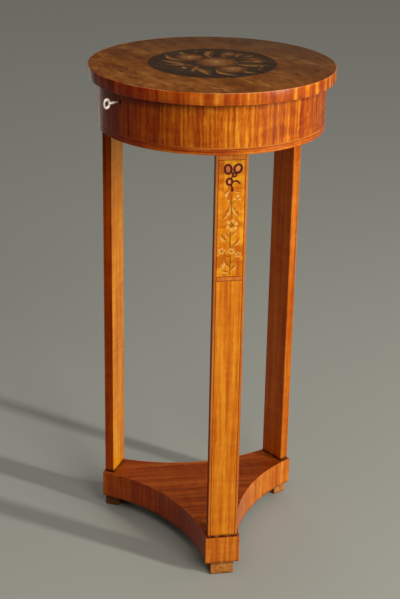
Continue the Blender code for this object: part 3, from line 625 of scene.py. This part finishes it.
def refined(node, name, eased=0.0):
    """A copy of a CAD piece, its triangles merged to whole faces and its arrises eased."""
    only(NODES[node])
    bpy.ops.object.duplicate()
    obj = bpy.context.object
    obj.name = obj.data.name = name
    obj.rotation_mode = "XYZ"
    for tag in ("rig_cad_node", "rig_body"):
        del obj[tag]
    bpy.ops.mesh.customdata_custom_splitnormals_clear()
    edit(obj)
    bpy.ops.mesh.select_all(action="SELECT")
    bpy.ops.mesh.remove_doubles(threshold=0.002 * MM)
    bpy.ops.mesh.dissolve_limited(angle_limit=math.radians(0.4))
    leave(obj)
    if eased:
        apply_modifier(
            obj, "BEVEL", width=eased, segments=2, limit_method="ANGLE", angle_limit=math.radians(40),
            harden_normals=True,
        )
    return obj


def on_each_leg(obj, name, slot, finishes, node=None):
    """Copy a piece of the back leg to the other legs, each copy with its own mesh."""
    for leg, turn in LEG_TURNS.items():
        only(obj)
        if turn:
            bpy.ops.object.duplicate()
        piece = bpy.context.object
        piece.rotation_euler.z = turn
        settle(f"{name}_{leg}")
        dress(piece, "table", slot, finishes, *([f"{node}_{leg}"] if node else []))


# Lid

MEDALLION_TOP = LID_TOP - 0.1 * MM
MEDALLION_DEEP = VENEER - 0.1 * MM
rim = round_band("lid_rim_veneer", LID_RADIUS - VENEER, LID_RADIUS, LID_BOTTOM, LID_TOP, 0.7 * MM)
dress(rim, "lid", "satinwood", [RIM_WOOD], "lid_edge_band")
top = round_band("lid_top_figured", MEDALLION_RADIUS + 0.3 * MM, TOP_RADIUS, LID_TOP - VENEER, LID_TOP)
dress(top, "lid", "figured_top", [TOP_WOOD], "lid_top_veneer")
bpy.ops.mesh.primitive_cylinder_add(
    vertices=ROUND_STEPS, radius=MEDALLION_RADIUS, depth=MEDALLION_DEEP,
    location=(0, 0, MEDALLION_TOP - MEDALLION_DEEP / 2),
)
ground = settle("medallion_ground")
soften(ground, 0.15 * MM, 1, lambda at: near(at.z, MEDALLION_TOP))
dress(ground, "lid", "marquetry", [GROUND_WOOD], "lid_medallion")


# Drum

KEYHOLE = 2.5 * MM
BIT_SLOT, BIT_SLOT_DEEP = 1.5 * MM, 6.4 * MM
LEAF_SLOT_DEEP, LEAF_GAP = 1.7 * MM, 0.3 * MM
# The drum takes a darker, redder wood between these angles from X
DARKER_ARC = (4, 64)


def pierced(obj, low, high, round_hole=False):
    """Cut a box, or a round hole along Y, through a piece."""
    size = Vector(high) - Vector(low)
    middle = (Vector(high) + Vector(low)) / 2
    if round_hole:
        bpy.ops.mesh.primitive_cylinder_add(
            vertices=32, radius=size.x / 2, depth=size.y, location=middle, rotation=(math.pi / 2, 0, 0)
        )
    else:
        bpy.ops.mesh.primitive_cube_add(size=1, location=middle, scale=size)
    tool = bpy.context.object
    apply_modifier(obj, "BOOLEAN", operation="DIFFERENCE", solver="EXACT", object=tool)
    bpy.data.objects.remove(tool)


veneer = round_band("drum_veneer", DRUM_RADIUS - VENEER, DRUM_RADIUS, line_high.z, RIM)
soften(veneer, 0.4 * MM, 2, lambda at: near(at.z, RIM) and at.xy.length > DRUM_RADIUS - 0.1 * MM)
outside, inside = -DRUM_RADIUS - 3 * MM, -DRUM_RADIUS + 3 * MM
pierced(
    veneer, (-KEYHOLE, outside, KEY_AXIS - KEYHOLE), (KEYHOLE, inside, KEY_AXIS + KEYHOLE), round_hole=True
)
pierced(veneer, (-BIT_SLOT, outside, KEY_AXIS - BIT_SLOT_DEEP), (BIT_SLOT, inside, KEY_AXIS))
for hand in ("left", "right"):
    leaf_low, leaf_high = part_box(f"hinge_table_leaf_{hand}")
    pierced(
        veneer,
        (leaf_low.x - LEAF_GAP, DRUM_RADIUS - 10 * MM, RIM - LEAF_SLOT_DEEP),
        (leaf_high.x + LEAF_GAP, DRUM_RADIUS + 10 * MM, RIM + MM),
    )
only(veneer)
bpy.ops.object.shade_smooth_by_angle(angle=math.radians(30))
drum_woods = [FRIEZE_WOOD, RED_FRIEZE_WOOD]
coat(veneer, drum_woods)
for face in veneer.data.polygons:
    angle = math.degrees(math.atan2(face.center.y, face.center.x))
    face.material_index = int(DARKER_ARC[0] < angle < DARKER_ARC[1])
dress(veneer, "table", "satinwood", drum_woods, "frieze_veneer")
line = round_band("drum_line", DRUM_RADIUS - VENEER, DRUM_RADIUS, line_low.z, line_high.z)
dress(line, "table", "stringing", [STRING_WOOD], "frieze_string")
band = round_band("drum_lower_band", DRUM_RADIUS - VENEER, DRUM_RADIUS, DRUM_BOTTOM, line_low.z)
soften(band, 0.6 * MM, 3, lambda at: near(at.z, DRUM_BOTTOM) and at.xy.length > DRUM_RADIUS - 0.1 * MM)
dress(band, "table", "satinwood", [BAND_WOOD], "frieze_lower_band")
dress(refined("frieze_ring", "drum_ring"), "table", "carcase", [WALL_WOOD], "frieze_ring")


# Legs, modelled at the back corner and copied to the others

EDGE_LINE = 19.4 * MM
LINE_HALF = 0.55 * MM
PANEL_LINES = (676.6 * MM, 502 * MM)
FACE_LINES = (495.5 * MM,)

leg = refined("leg_back", "leg_core_back")
soften(leg, 0.7 * MM, 2, lambda at: near(at.y, LEG_INNER_FACE) and abs(at.x) > LEG_HALF - 0.1 * MM)
leg_woods = [LEG_SIDE_WOOD, SHADED_LEG_EDGE_WOOD]
coat(leg, leg_woods)
for face in leg.data.polygons:
    face.material_index = int(abs(face.normal.x) > 0.7)
on_each_leg(leg, "leg_core", "satinwood", leg_woods, "leg")


def leg_veneer(name, node, finishes, levels, pale):
    """A leg's face veneer, cut into its field, its dark lines and its pale edges."""
    low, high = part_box(node)
    bpy.ops.mesh.primitive_cube_add(size=1, location=(low + high) / 2, scale=high - low)
    obj = settle(name)
    edit(obj)
    both = (-LINE_HALF, LINE_HALF)
    cuts = [((side * (EDGE_LINE + step), 0, 0), (1, 0, 0)) for side in (-1, 1) for step in both]
    cuts += [((0, 0, level + step), (0, 0, 1)) for level in levels for step in both]
    for place, normal in cuts:
        bpy.ops.mesh.select_all(action="SELECT")
        bpy.ops.mesh.bisect(plane_co=place, plane_no=normal)
    ease(0.35 * MM, 2, lambda at: near(at.y, LEG_FACE) and abs(at.x) > LEG_HALF - 0.1 * MM)
    leave(obj)
    coat(obj, finishes)
    for face in obj.data.polygons:
        across, level = abs(face.center.x), face.center.z
        inside = across < EDGE_LINE - LINE_HALF
        if abs(across - EDGE_LINE) < LINE_HALF:
            face.material_index = 1
        elif inside and any(abs(level - at) < LINE_HALF for at in levels):
            face.material_index = 1
        elif not inside or any(start < level < end for start, end in pale):
            face.material_index = 2
    return obj


panel_woods = [PANEL_WOOD, LINE_WOOD, PALE_WOOD]
panel_ends = [(panel_low.z, PANEL_LINES[1]), (PANEL_LINES[0], panel_high.z)]
upper = leg_veneer("leg_upper_face", "leg_panel_back", panel_woods, PANEL_LINES, panel_ends)
on_each_leg(upper, "leg_upper_face", "leg_panel", panel_woods, "leg_panel")
face_woods = [LEG_WOOD, LINE_WOOD, PALE_WOOD]
face_ends = [(FACE_LINES[0], face_high.z)]
lower = leg_veneer("leg_lower_face", "leg_face_back", face_woods, FACE_LINES, face_ends)
on_each_leg(lower, "leg_lower_face", "satinwood", face_woods, "leg_face")


# Inlays: flat shapes are drawn in millimetres, filled, given a little depth and let into a face

INLAY_DEEP = 0.3 * MM
PANEL_STEP, SPRAY_STEP = 0.02 * MM, 0.0125 * MM
# Keeps the faces of shapes that cross out of one plane
LIFT = 0.002 * MM


def left_of(way):
    return Vector((-way.y, way.x))


def drawn(points, pointed=(), hole=None):
    """A filled shape through points, with corners at some of them, and a hole if one is given."""
    bpy.ops.curve.primitive_bezier_circle_add(radius=MM)
    obj = bpy.context.object
    obj.data.dimensions = "2D"
    obj.data.fill_mode = "BOTH"
    obj.data.resolution_u = 6
    splines = [(obj.data.splines[0], points)]
    if hole:
        inner = obj.data.splines.new("BEZIER")
        inner.bezier_points.add(3)
        inner.use_cyclic_u = True
        inner.resolution_u = 6
        splines.append((inner, hole))
    for spline, places in splines:
        spline.bezier_points.add(len(places) - len(spline.bezier_points))
        for number, (point, place) in enumerate(zip(spline.bezier_points, places)):
            point.co = (place[0] * MM, place[1] * MM, 0)
            kind = "VECTOR" if number in pointed and places is points else "AUTO"
            point.handle_left_type = point.handle_right_type = kind
    return obj


def leaf(base, tip, width, bend=0.0, half=0):
    """A pointed leaf, or one half of it along its rib."""
    base, tip = Vector(base), Vector(tip)
    along = tip - base
    across = left_of(along).normalized()
    middle = base + along * 0.45 + across * bend * along.length
    left = middle + across * width / 2
    right = middle - across * width / 2
    if half > 0:
        right = middle
    if half < 0:
        left = middle
    return drawn([base, left, tip, right], (0, 2))


def petal(centre, angle, start, end, width):
    """One petal, narrow at the flower's heart."""
    way = Vector(heading(angle)[:2])
    across = left_of(way)
    heart, middle, tip = (Vector(centre) + way * r for r in (start, start + 0.62 * (end - start), end))
    return drawn([heart, middle + across * width / 2, tip, middle - across * width / 2], (0,))


def oval(centre, long, short, angle=0.0, thick=0.0):
    """An oval, or a loop of ribbon where it has a thickness."""
    way = Vector(heading(angle)[:2])
    across = left_of(way)

    def points(a, b):
        return [Vector(centre) + d for d in (way * a, across * b, -way * a, -across * b)]

    hole = points(long / 2 - thick, short / 2 - thick) if thick else None
    return drawn(points(long / 2, short / 2), hole=hole)


def stroke(points, widths):
    """A stem or ribbon end that follows points, with a width at each."""
    points = [Vector(p) for p in points]
    sides = []
    for number, point in enumerate(points):
        along = points[min(number + 1, len(points) - 1)] - points[max(number - 1, 0)]
        across = left_of(along).normalized() * widths[number] / 2
        sides.append((point + across, point - across))
    outline = [left for left, right in sides] + [right for left, right in reversed(sides)]
    ends = (0, len(points) - 1, len(points), 2 * len(points) - 1)
    return drawn(outline, ends)


def inlay(name, finish, shapes, bottom, top):
    """Shapes of one wood as one piece, between two heights over the drawing plane."""
    for number, shape in enumerate(shapes):
        shape.data.extrude = (top - bottom) / 2
        shape.location.z = (top + bottom) / 2 + LIFT * (number % 3)
    only(*shapes)
    bpy.ops.object.convert(target="MESH")
    bpy.ops.object.join()
    obj = settle(name)
    edit(obj)
    bpy.ops.mesh.select_all(action="SELECT")
    bpy.ops.mesh.remove_doubles(threshold=0.001 * MM)
    leave(obj, 20)
    obj.data.materials.append(finish)
    return obj


def let_in(name, step, layers):
    """Layers of inlay as one piece: how many steps each stands proud, its wood and its shapes."""
    return joined(name, *[
        inlay(f"{name}_{number}", finish, shapes, -INLAY_DEEP, steps * step)
        for number, (steps, finish, shapes) in enumerate(layers)
    ])


def two_tone(base, tip, width, bend, lit):
    """A leaf in two woods: the whole leaf shaded, and its lit half."""
    return leaf(base, tip, width, bend), leaf(base, tip, width, bend, lit)


def blossom(centre, radius, petals, width, turn, heart=0.12):
    return [petal(centre, turn + 360 * n / petals, heart * radius, radius, width) for n in range(petals)]


# Ribbon bow and flower trail on the legs: millimetres to the viewer's right, and over the floor

LEFT_LOOP, RIGHT_LOOP, SMALL_LOOP, LOW_LOOP = (-5.7, 663.4), (8.3, 664.0), (3.8, 655.2), (-3.3, 645.0)
RIBBON = [
    oval(LEFT_LOOP, 16.4, 12.6, 98, 3.4),
    oval(RIGHT_LOOP, 15.8, 13.6, 62, 3.4),
    oval(SMALL_LOOP, 8.6, 7.6, 80, 2.6),
    oval(LOW_LOOP, 12.8, 11.2, 95, 3.4),
    stroke([(-1.2, 660.0), (1.0, 655.4), (-0.8, 649.6)], [1.8, 2.8, 1.8]),
    stroke([(1.0, 643.8), (4.4, 645.8), (8.6, 645.2), (12.4, 640.8)], [1.8, 2.6, 2.8, 1.2]),
    stroke([(-1.0, 640.6), (0.4, 637.0), (1.2, 630.4)], [2.0, 2.6, 3.8]),
]
LOOPS = [oval(RIGHT_LOOP, 9.8, 7.4, 62), oval(LOW_LOOP, 6.4, 5.0, 95)]
DARK_LOOPS = [oval(LEFT_LOOP, 10.0, 6.4, 98), oval(SMALL_LOOP, 3.6, 2.8, 80)]
STEMS = [
    stroke(
        [(1.0, 629), (0.2, 612), (1.4, 590), (-0.4, 560), (0.8, 530), (0.0, 505)],
        [1.2, 2.0, 2.4, 2.2, 2.2, 1.6],
    ),
    stroke([(0.4, 612), (-4.0, 619), (-7.2, 624)], [1.5, 1.3, 0.9]),
    stroke([(0.4, 611), (4.4, 616), (8.6, 622)], [1.5, 1.3, 0.9]),
    stroke([(-0.4, 554), (-6.0, 556), (-11.0, 561)], [1.5, 1.3, 1.0]),
    stroke([(0.2, 548), (6.0, 550), (11.0, 556)], [1.5, 1.3, 1.0]),
    stroke([(0.8, 532), (-5.0, 534), (-12.0, 541)], [1.5, 1.3, 0.9]),
    stroke([(0.6, 524), (6.0, 527), (11.0, 534)], [1.5, 1.3, 0.9]),
]
TRAIL_LEAVES = [
    two_tone((-1.0, 612.0), (-13.6, 587.5), 7.0, 0.10, 1),
    two_tone((2.2, 610.0), (13.2, 592.0), 6.6, -0.10, -1),
    two_tone((-5.0, 556.5), (-15.4, 568.5), 7.0, 0.12, 1),
    two_tone((4.0, 549.0), (14.2, 561.5), 6.4, -0.12, -1),
    two_tone((-0.2, 564.0), (8.4, 572.0), 4.4, -0.1, -1),
    two_tone((-0.4, 560.0), (-8.4, 573.0), 4.4, 0.1, 1),
    two_tone((0.6, 536.0), (8.0, 545.5), 4.4, -0.1, -1),
    two_tone((0.0, 516.0), (-9.4, 529.0), 6.2, 0.1, 1),
    two_tone((0.2, 511.0), (10.0, 522.0), 5.8, -0.1, -1),
    two_tone((-0.4, 509.0), (-13.6, 512.5), 5.0, 0.1, 1),
    two_tone((-1.0, 601.0), (-8.4, 597.0), 4.0, -0.1, 1),
    two_tone((1.6, 598.0), (8.8, 604.5), 3.8, 0.1, -1),
    two_tone((-2.0, 634.0), (-13.6, 626.0), 4.4, 0.1, 1),
    two_tone((3.0, 632.0), (14.0, 629.0), 4.0, -0.1, -1),
]
LARGE, SIDE, MIDDLE = (1.8, 580.0), (-12.4, 541.6), (1.4, 541.0)
TRAIL_FLOWERS = (
    blossom(LARGE, 9.2, 6, 5.6, 20, 0.36)
    + blossom(SIDE, 5.2, 5, 3.6, 10, 0.25)
    + blossom(MIDDLE, 4.8, 5, 3.2, 40, 0.25)
    + blossom((11.8, 535.4), 4.6, 5, 3.2, 25, 0.25)
    + [oval((-7.6, 624.4), 5.0, 3.8, 60), oval((8.6, 623.4), 4.8, 3.8, 40)]
    + [oval((5.0, 618.8), 3.6, 2.8, 20), oval((12.0, 618.6), 4.2, 3.2, -20)]
    + [oval((-9.6, 519.0), 7.0, 4.6, 70), oval((-3.8, 616.4), 3.0, 2.4, 100)]
)
HEARTS = [oval(LARGE, 5.4, 5.0), oval(SIDE, 2.0, 2.0), oval(MIDDLE, 2.0, 2.0)]
trail = let_in("leg_marquetry", PANEL_STEP, [
    (2, LOOP_WOOD, LOOPS),
    (2, SHADED_LOOP_WOOD, DARK_LOOPS),
    (3, STEM_WOOD, STEMS),
    (4, SHADED_LEAF_WOOD, [whole for whole, lit in TRAIL_LEAVES]),
    (5, LIGHT_LEAF_WOOD, [lit for whole, lit in TRAIL_LEAVES]),
    (6, BLOSSOM_WOOD, TRAIL_FLOWERS),
    (7, STEM_WOOD, HEARTS),
    (8, RIBBON_WOOD, RIBBON),
])
trail.rotation_euler = (math.pi / 2, 0, math.pi)
trail.location.y = LEG_FACE
settle("leg_marquetry")
on_each_leg(trail, "leg_marquetry", "leg_panel", list(trail.data.materials))


# Spray of flowers on the lid's medallion: millimetres from the lid's middle

SPRAY_STEMS = [
    stroke([(-2, -78), (-1, -54), (4, -24), (0, 0)], [2.2, 2.0, 2.2, 2.4]),
    stroke([(9, -76), (0, -54), (-22, -34), (-42, -12)], [1.8, 2.0, 1.9, 1.6]),
    stroke([(-12, -74), (1, -54), (24, -34), (45, -10)], [1.8, 2.0, 1.9, 1.6]),
    stroke([(-8, 28), (-14, 42), (-27, 54)], [1.9, 1.6, 1.2]),
    stroke([(10, 28), (16, 44), (28, 57)], [1.9, 1.6, 1.2]),
    stroke([(1, 34), (3, 52), (0, 70)], [1.7, 1.4, 1.0]),
    stroke([(-52, 8), (-66, 22), (-70, 36), (-60, 40)], [1.4, 1.2, 1.0, 0.8]),
    stroke([(54, 10), (68, 22), (72, 36), (62, 42)], [1.4, 1.2, 1.0, 0.8]),
]
SPRAY_LEAVES = [
    two_tone((-8, -40), (-60, -52), 17, -0.10, 1),
    two_tone((8, -40), (58, -54), 17, 0.10, -1),
    two_tone((-34, -24), (-82, -24), 15, 0.12, 1),
    two_tone((36, -24), (83, -22), 15, -0.12, -1),
    two_tone((-26, 20), (-62, 54), 15, 0.10, 1),
    two_tone((26, 22), (60, 57), 15, -0.10, -1),
    two_tone((-12, 36), (-42, 72), 12, 0.10, 1),
    two_tone((12, 38), (38, 76), 12, -0.10, -1),
    two_tone((2, -30), (26, -62), 12, 0.08, -1),
    two_tone((-2, -30), (-30, -66), 12, -0.08, 1),
    two_tone((-60, 4), (-86, 10), 11, 0.1, 1),
    two_tone((62, 4), (87, 10), 11, -0.1, -1),
    two_tone((-4, 52), (-18, 80), 9, 0.1, 1),
    two_tone((4, 52), (17, 82), 9, -0.1, -1),
]
MAIN, LEFT_BLOOM, RIGHT_BLOOM = (0, 8), (-46, -4), (47, -2)
LEFT_BUD, RIGHT_BUD = (-29, 57), (30, 60)
OUTER_PETALS = (
    blossom(MAIN, 33, 9, 21, 10)
    + blossom(LEFT_BLOOM, 23, 7, 18, 0)
    + blossom(RIGHT_BLOOM, 23, 7, 18, 20)
    + blossom(LEFT_BUD, 13, 6, 11, 15)
    + blossom(RIGHT_BUD, 13, 6, 11, 40)
    + [oval((0, 73), 17, 11, 88)]
)
INNER_PETALS = (
    blossom(MAIN, 25, 9, 13, 30)
    + blossom(LEFT_BLOOM, 17, 7, 10, 25)
    + blossom(RIGHT_BLOOM, 17, 7, 10, 45)
    + blossom(LEFT_BUD, 9, 6, 6, 45)
    + blossom(RIGHT_BUD, 9, 6, 6, 10)
    + [leaf((0, 65), (0, 82), 6)]
)
LIT_PETALS = (
    blossom(MAIN, 16, 9, 6.5, 10)
    + blossom(LEFT_BLOOM, 11, 7, 5, 0)
    + blossom(RIGHT_BLOOM, 11, 7, 5, 20)
    + [oval((-60, 40), 7, 5, 30), oval((62, 42), 7, 5, 150), oval((-72, 28), 5, 4), oval((73, 28), 5, 4)]
)
SPRAY_HEARTS = [oval(MAIN, 9, 9), oval(LEFT_BLOOM, 6.5, 6.5), oval(RIGHT_BLOOM, 6.5, 6.5)]
SPRAY_HEARTS += [oval(LEFT_BUD, 4.5, 4.5), oval(RIGHT_BUD, 4.5, 4.5), oval((0, -54), 9, 5, 5)]
spray = let_in("medallion_spray", SPRAY_STEP, [
    (1, SPRAY_LEAF_WOOD, SPRAY_STEMS),
    (2, SPRAY_LEAF_WOOD, [whole for whole, lit in SPRAY_LEAVES]),
    (3, SPRAY_TAN_WOOD, [lit for whole, lit in SPRAY_LEAVES]),
    (4, SPRAY_DARK_WOOD, OUTER_PETALS),
    (5, SPRAY_RED_WOOD, INNER_PETALS),
    (6, SPRAY_TAN_WOOD, LIT_PETALS),
    (7, SPRAY_CREAM_WOOD, SPRAY_HEARTS),
])
spray.location.z = MEDALLION_TOP
settle("medallion_spray")
dress(spray, "lid", "marquetry", list(spray.data.materials))


# Platform and feet

for side in ("front", "right", "left"):
    node = f"platform_side_veneer_{side}"
    piece = refined(node, f"platform_side_{side}", 0.4 * MM)
    dress(piece, "table", "satinwood", [SIDE_WOOD], node)
facing = refined("platform_corner_back", "corner_facing", 0.5 * MM)
on_each_leg(facing, "corner_facing", "satinwood", [SIDE_WOOD], "platform_corner")
foot = refined("foot_back", "block_foot")
on_each_leg(foot, "block_foot", "satinwood", [FOOT_WOOD], "foot")
# The left foot takes the darker copy of its wood: painted shade
bpy.data.objects["block_foot_left"].data.materials[0] = SHADED_FOOT_WOOD


# Key

WIRE = 2.15 * MM
BOW_LONG, BOW_TALL, BOW_FLAT = 12.4 * MM, key_high.z - KEY_AXIS - 0.4 * MM, 0.78
BOW_MIDDLE = (0, key_low.y + BOW_LONG / 2, KEY_AXIS)
SHANK, TIP = 1.9 * MM, 1.55 * MM
BORE, BORE_DEEP = 0.95 * MM, 7 * MM
SHANK_START, SHANK_END = key_low.y + BOW_LONG - 2.2 * MM, key_high.y
# Two turned rings and the taper after them: places along Y and radii, in millimetres
RINGS = [
    (-184.2, 1.9), (-184.1, 2.1), (-183.8, 2.2), (-182.9, 2.2), (-182.6, 1.95), (-182.4, 1.95),
    (-182.2, 2.1), (-181.6, 2.1), (-181.3, 1.85), (-172, 1.55),
]
# The bit, in millimetres: across, along Y, and over the key's axis
BIT_LOW, BIT_HIGH = (-1.1, -156.4, -6.0), (1.1, -151.8, -1.2)


def turned(name, profile):
    """A round piece along Y at the key's height, drawn out through places along Y and their radii."""
    bpy.ops.mesh.primitive_circle_add(
        vertices=32, radius=profile[0][1], fill_type="NGON", location=(0, profile[0][0], KEY_AXIS),
        rotation=(math.pi / 2, 0, 0),
    )
    obj = settle(name)
    edit(obj)
    bpy.ops.mesh.select_all(action="SELECT")
    for (here, old), (there, new) in zip(profile, profile[1:]):
        bpy.ops.mesh.extrude_region_move(TRANSFORM_OT_translate={"value": (0, there - here, 0)})
        bpy.ops.transform.resize(value=(new / old, 1, new / old), center_override=(0, there, KEY_AXIS))
    return leave(obj, 35)


shank = turned("key_shank", [
    (SHANK_START, 1.5 * MM), (SHANK_START + 0.5 * MM, 1.8 * MM), (SHANK_START + 1.2 * MM, SHANK),
    *[(place * MM, radius * MM) for place, radius in RINGS],
    (SHANK_END - 0.3 * MM, TIP), (SHANK_END, TIP - 0.3 * MM), (SHANK_END, BORE), (SHANK_END - BORE_DEEP, BORE),
])
bpy.ops.mesh.primitive_torus_add(
    major_segments=64, minor_segments=20, major_radius=BOW_TALL - WIRE, minor_radius=WIRE,
    location=BOW_MIDDLE, rotation=(0, math.pi / 2, 0),
)
bow = settle("key_bow")
edit(bow)
bpy.ops.mesh.select_all(action="SELECT")
bpy.ops.transform.resize(value=(BOW_FLAT, BOW_LONG / 2 / BOW_TALL, 1), center_override=BOW_MIDDLE)
leave(bow, 60)
bit_low, bit_high = Vector(BIT_LOW) * MM, Vector(BIT_HIGH) * MM
bpy.ops.mesh.primitive_cube_add(
    size=1, location=(bit_low + bit_high) / 2 + Vector((0, 0, KEY_AXIS)), scale=bit_high - bit_low
)
bit = settle("key_bit")
soften(bit, 0.2 * MM, 2, lambda at: near(at.z, KEY_AXIS + bit_low.z))
dress(joined("box_key", shank, bow, bit), "key", "key_steel", [KEY_STEEL], "key")


# Hinges and lock, with their arrises broken

for hand in ("left", "right"):
    for node, body in (("hinge_table_leaf", "table"), ("hinge_lid_leaf", "lid")):
        piece = refined(f"{node}_{hand}", f"{node}_worn_{hand}", 0.12 * MM)
        dress(piece, body, "hinge_brass", [BRASS], f"{node}_{hand}")
for node, body, eased in (
    ("lock_plate", "table", 0.0), ("lock_bolt", "bolt", 0.1), ("link_plate", "lid", 0.1)
):
    dress(refined(node, f"{node}_worn", eased * MM), body, "lock_steel", [STEEL], node)


# Slotted screws, modelled once and copied

HEAD, HEAD_DEEP, HEAD_MIDDLE = 1.5 * MM, 0.5 * MM, -0.2 * MM
SLOT_HALF, SLOT_DEEP = 0.22 * MM, 0.25 * MM
# Places across and along Y, or across and up, in millimetres
LEAF_HOLES = [(15, 160), (31, 160), (23, 165)]
LOCK_HOLES = [(-20.6, 736), (-20.6, 750), (20.6, 736), (20.6, 750)]
LINK_HOLES = (-16.6, 16.6)
bpy.ops.mesh.primitive_cylinder_add(vertices=28, radius=HEAD, depth=HEAD_DEEP, location=(0, 0, HEAD_MIDDLE))
screw = settle("screw_head")
soften(screw, 0.04 * MM, 1, lambda at: at.z > 0)
pierced(screw, (-2 * MM, -SLOT_HALF, -SLOT_DEEP), (2 * MM, SLOT_HALF, MM))


def screws(name, places, tilt, body, slot, finish):
    """A set of screws in one piece: where their heads lie, and how they are tipped over about X."""
    heads = []
    for number, place in enumerate(places):
        only(screw)
        bpy.ops.object.duplicate()
        head = bpy.context.object
        head.rotation_euler = (0, 0, math.radians(20 + 67 * number))
        settle(f"{name}_{number}")
        head.rotation_euler = (tilt, 0, 0)
        head.location = place
        heads.append(settle(f"{name}_{number}"))
    dress(joined(name, *heads), body, slot, [finish])


for hand, side in (("left", -1), ("right", 1)):
    for body, level, tilt in (("table", RIM, 0), ("lid", LID_BOTTOM, math.pi)):
        holes = [(side * x * MM, y * MM, level) for x, y in LEAF_HOLES]
        screws(f"hinge_screws_{body}_{hand}", holes, tilt, body, "hinge_brass", BRASS)
plate_low, plate_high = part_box("lock_plate")
holes = [(x * MM, plate_high.y, z * MM) for x, z in LOCK_HOLES]
screws("lock_screws", holes, -math.pi / 2, "table", "lock_steel", STEEL)
holes = [(x * MM, (plate_low.y + plate_high.y) / 2, LID_BOTTOM) for x in LINK_HOLES]
screws("link_screws", holes, math.pi, "lid", "lock_steel", STEEL)
bpy.data.objects.remove(screw)


# Nodes whose own shape is right

for node, finish in (
    ("lid_board", CARCASE_WOOD),
    ("well_bottom", CARCASE_WOOD),
    ("platform_core", CARCASE_WOOD),
    ("platform_top_veneer", PLATFORM_WOOD),
    ("lock_case", STEEL),
    ("lock_pin", STEEL),
    ("hinge_pin_left", BRASS),
    ("hinge_pin_right", BRASS),
):
    NODES[node].material_slots[0].material = finish


# Floor, light and camera

SEEN_FLOOR = (0.335, 0.336, 0.302, 1)
# A floor as pale as it looks would light the undersides more than they are lit
LIGHTING_FLOOR = (0.13, 0.095, 0.06, 1)
LAMP_TINT = (1.0, 0.97, 0.9)
SKY_TINT = (1.0, 0.99, 0.95, 1)
scene = bpy.context.scene
bpy.ops.mesh.primitive_plane_add(size=60)
floor = settle("floor")
floor_finish = bpy.data.materials.new("pale_floor")
floor_finish.use_nodes = True
floor_tree = floor_finish.node_tree
floor_shader = floor_tree.nodes["Principled BSDF"]
rays = add(floor_tree, "LightPath").outputs
seen = sums(floor_tree, "MAXIMUM", rays["Is Camera Ray"], rays["Is Glossy Ray"])
seen = sums(floor_tree, "MAXIMUM", seen, rays["Is Transmission Ray"])
floor_colour = blend(floor_tree, seen, LIGHTING_FLOOR, SEEN_FLOOR)
floor_tree.links.new(floor_colour, floor_shader.inputs["Base Color"])
floor_shader.inputs["Roughness"].default_value = 0.9
floor.data.materials.append(floor_finish)


def placed(data, place, turn):
    """A lamp or camera put into the scene."""
    obj = bpy.data.objects.new(data.name, data)
    obj.location, obj.rotation_euler = place, turn
    scene.collection.objects.link(obj)
    return obj


def area_light(name, place, aim, wide, tall, watts):
    """A soft lamp of some width and height, turned from its place towards an aim."""
    lamp = bpy.data.lights.new(name, "AREA")
    lamp.shape, lamp.size, lamp.size_y, lamp.energy = "RECTANGLE", wide, tall, watts
    lamp.color = LAMP_TINT
    return placed(lamp, place, (Vector(place) - Vector(aim)).to_track_quat("Z", "Y").to_euler())


area_light("tall_window", (3.16, 1.245, 1.85), (0, 0, 1.85), wide=0.18, tall=2.6, watts=130)
area_light("side_fill", (2.5, -0.55, 2.0), (0, 0, 0.4), wide=1.2, tall=1.2, watts=35)
strip = area_light("low_reflector", (-1.42, 0.20, 0.35), (0, 0, 0.7), wide=0.12, tall=0.5, watts=0.38)
strip.visible_camera = strip.visible_diffuse = False

# A weak back light for the sides that the window leaves dark
back_light = bpy.data.lights.new("back_light", "SUN")
back_light.energy, back_light.angle = 0.8, math.radians(30)
behind = placed(back_light, (0, 0, 0), (math.radians(82), 0, math.radians(245)))
behind.visible_glossy = False

# A soft overhead light that leaves the horizon dark
scene.world = bpy.data.worlds.new("studio")
scene.world.use_nodes = True
sky = scene.world.node_tree
height = add(sky, "SeparateXYZ", {0: add(sky, "TexCoord").outputs["Generated"]}).outputs[2]
sky.links.new(remap(sky, height, 0.5, 0.95, 0.02, 0.68), sky.nodes["Background"].inputs["Strength"])
sky.nodes["Background"].inputs["Color"].default_value = SKY_TINT

# The camera, as fitted to the outlines in the photo
camera = bpy.data.cameras.new("camera")
camera.lens = 84.68
turn = [math.radians(angle) for angle in (67.4612, -0.9797, 50.1476)]
scene.camera = placed(camera, (1.5576, -1.3343, 1.2480), turn)
scene.view_settings.view_transform = "Standard"
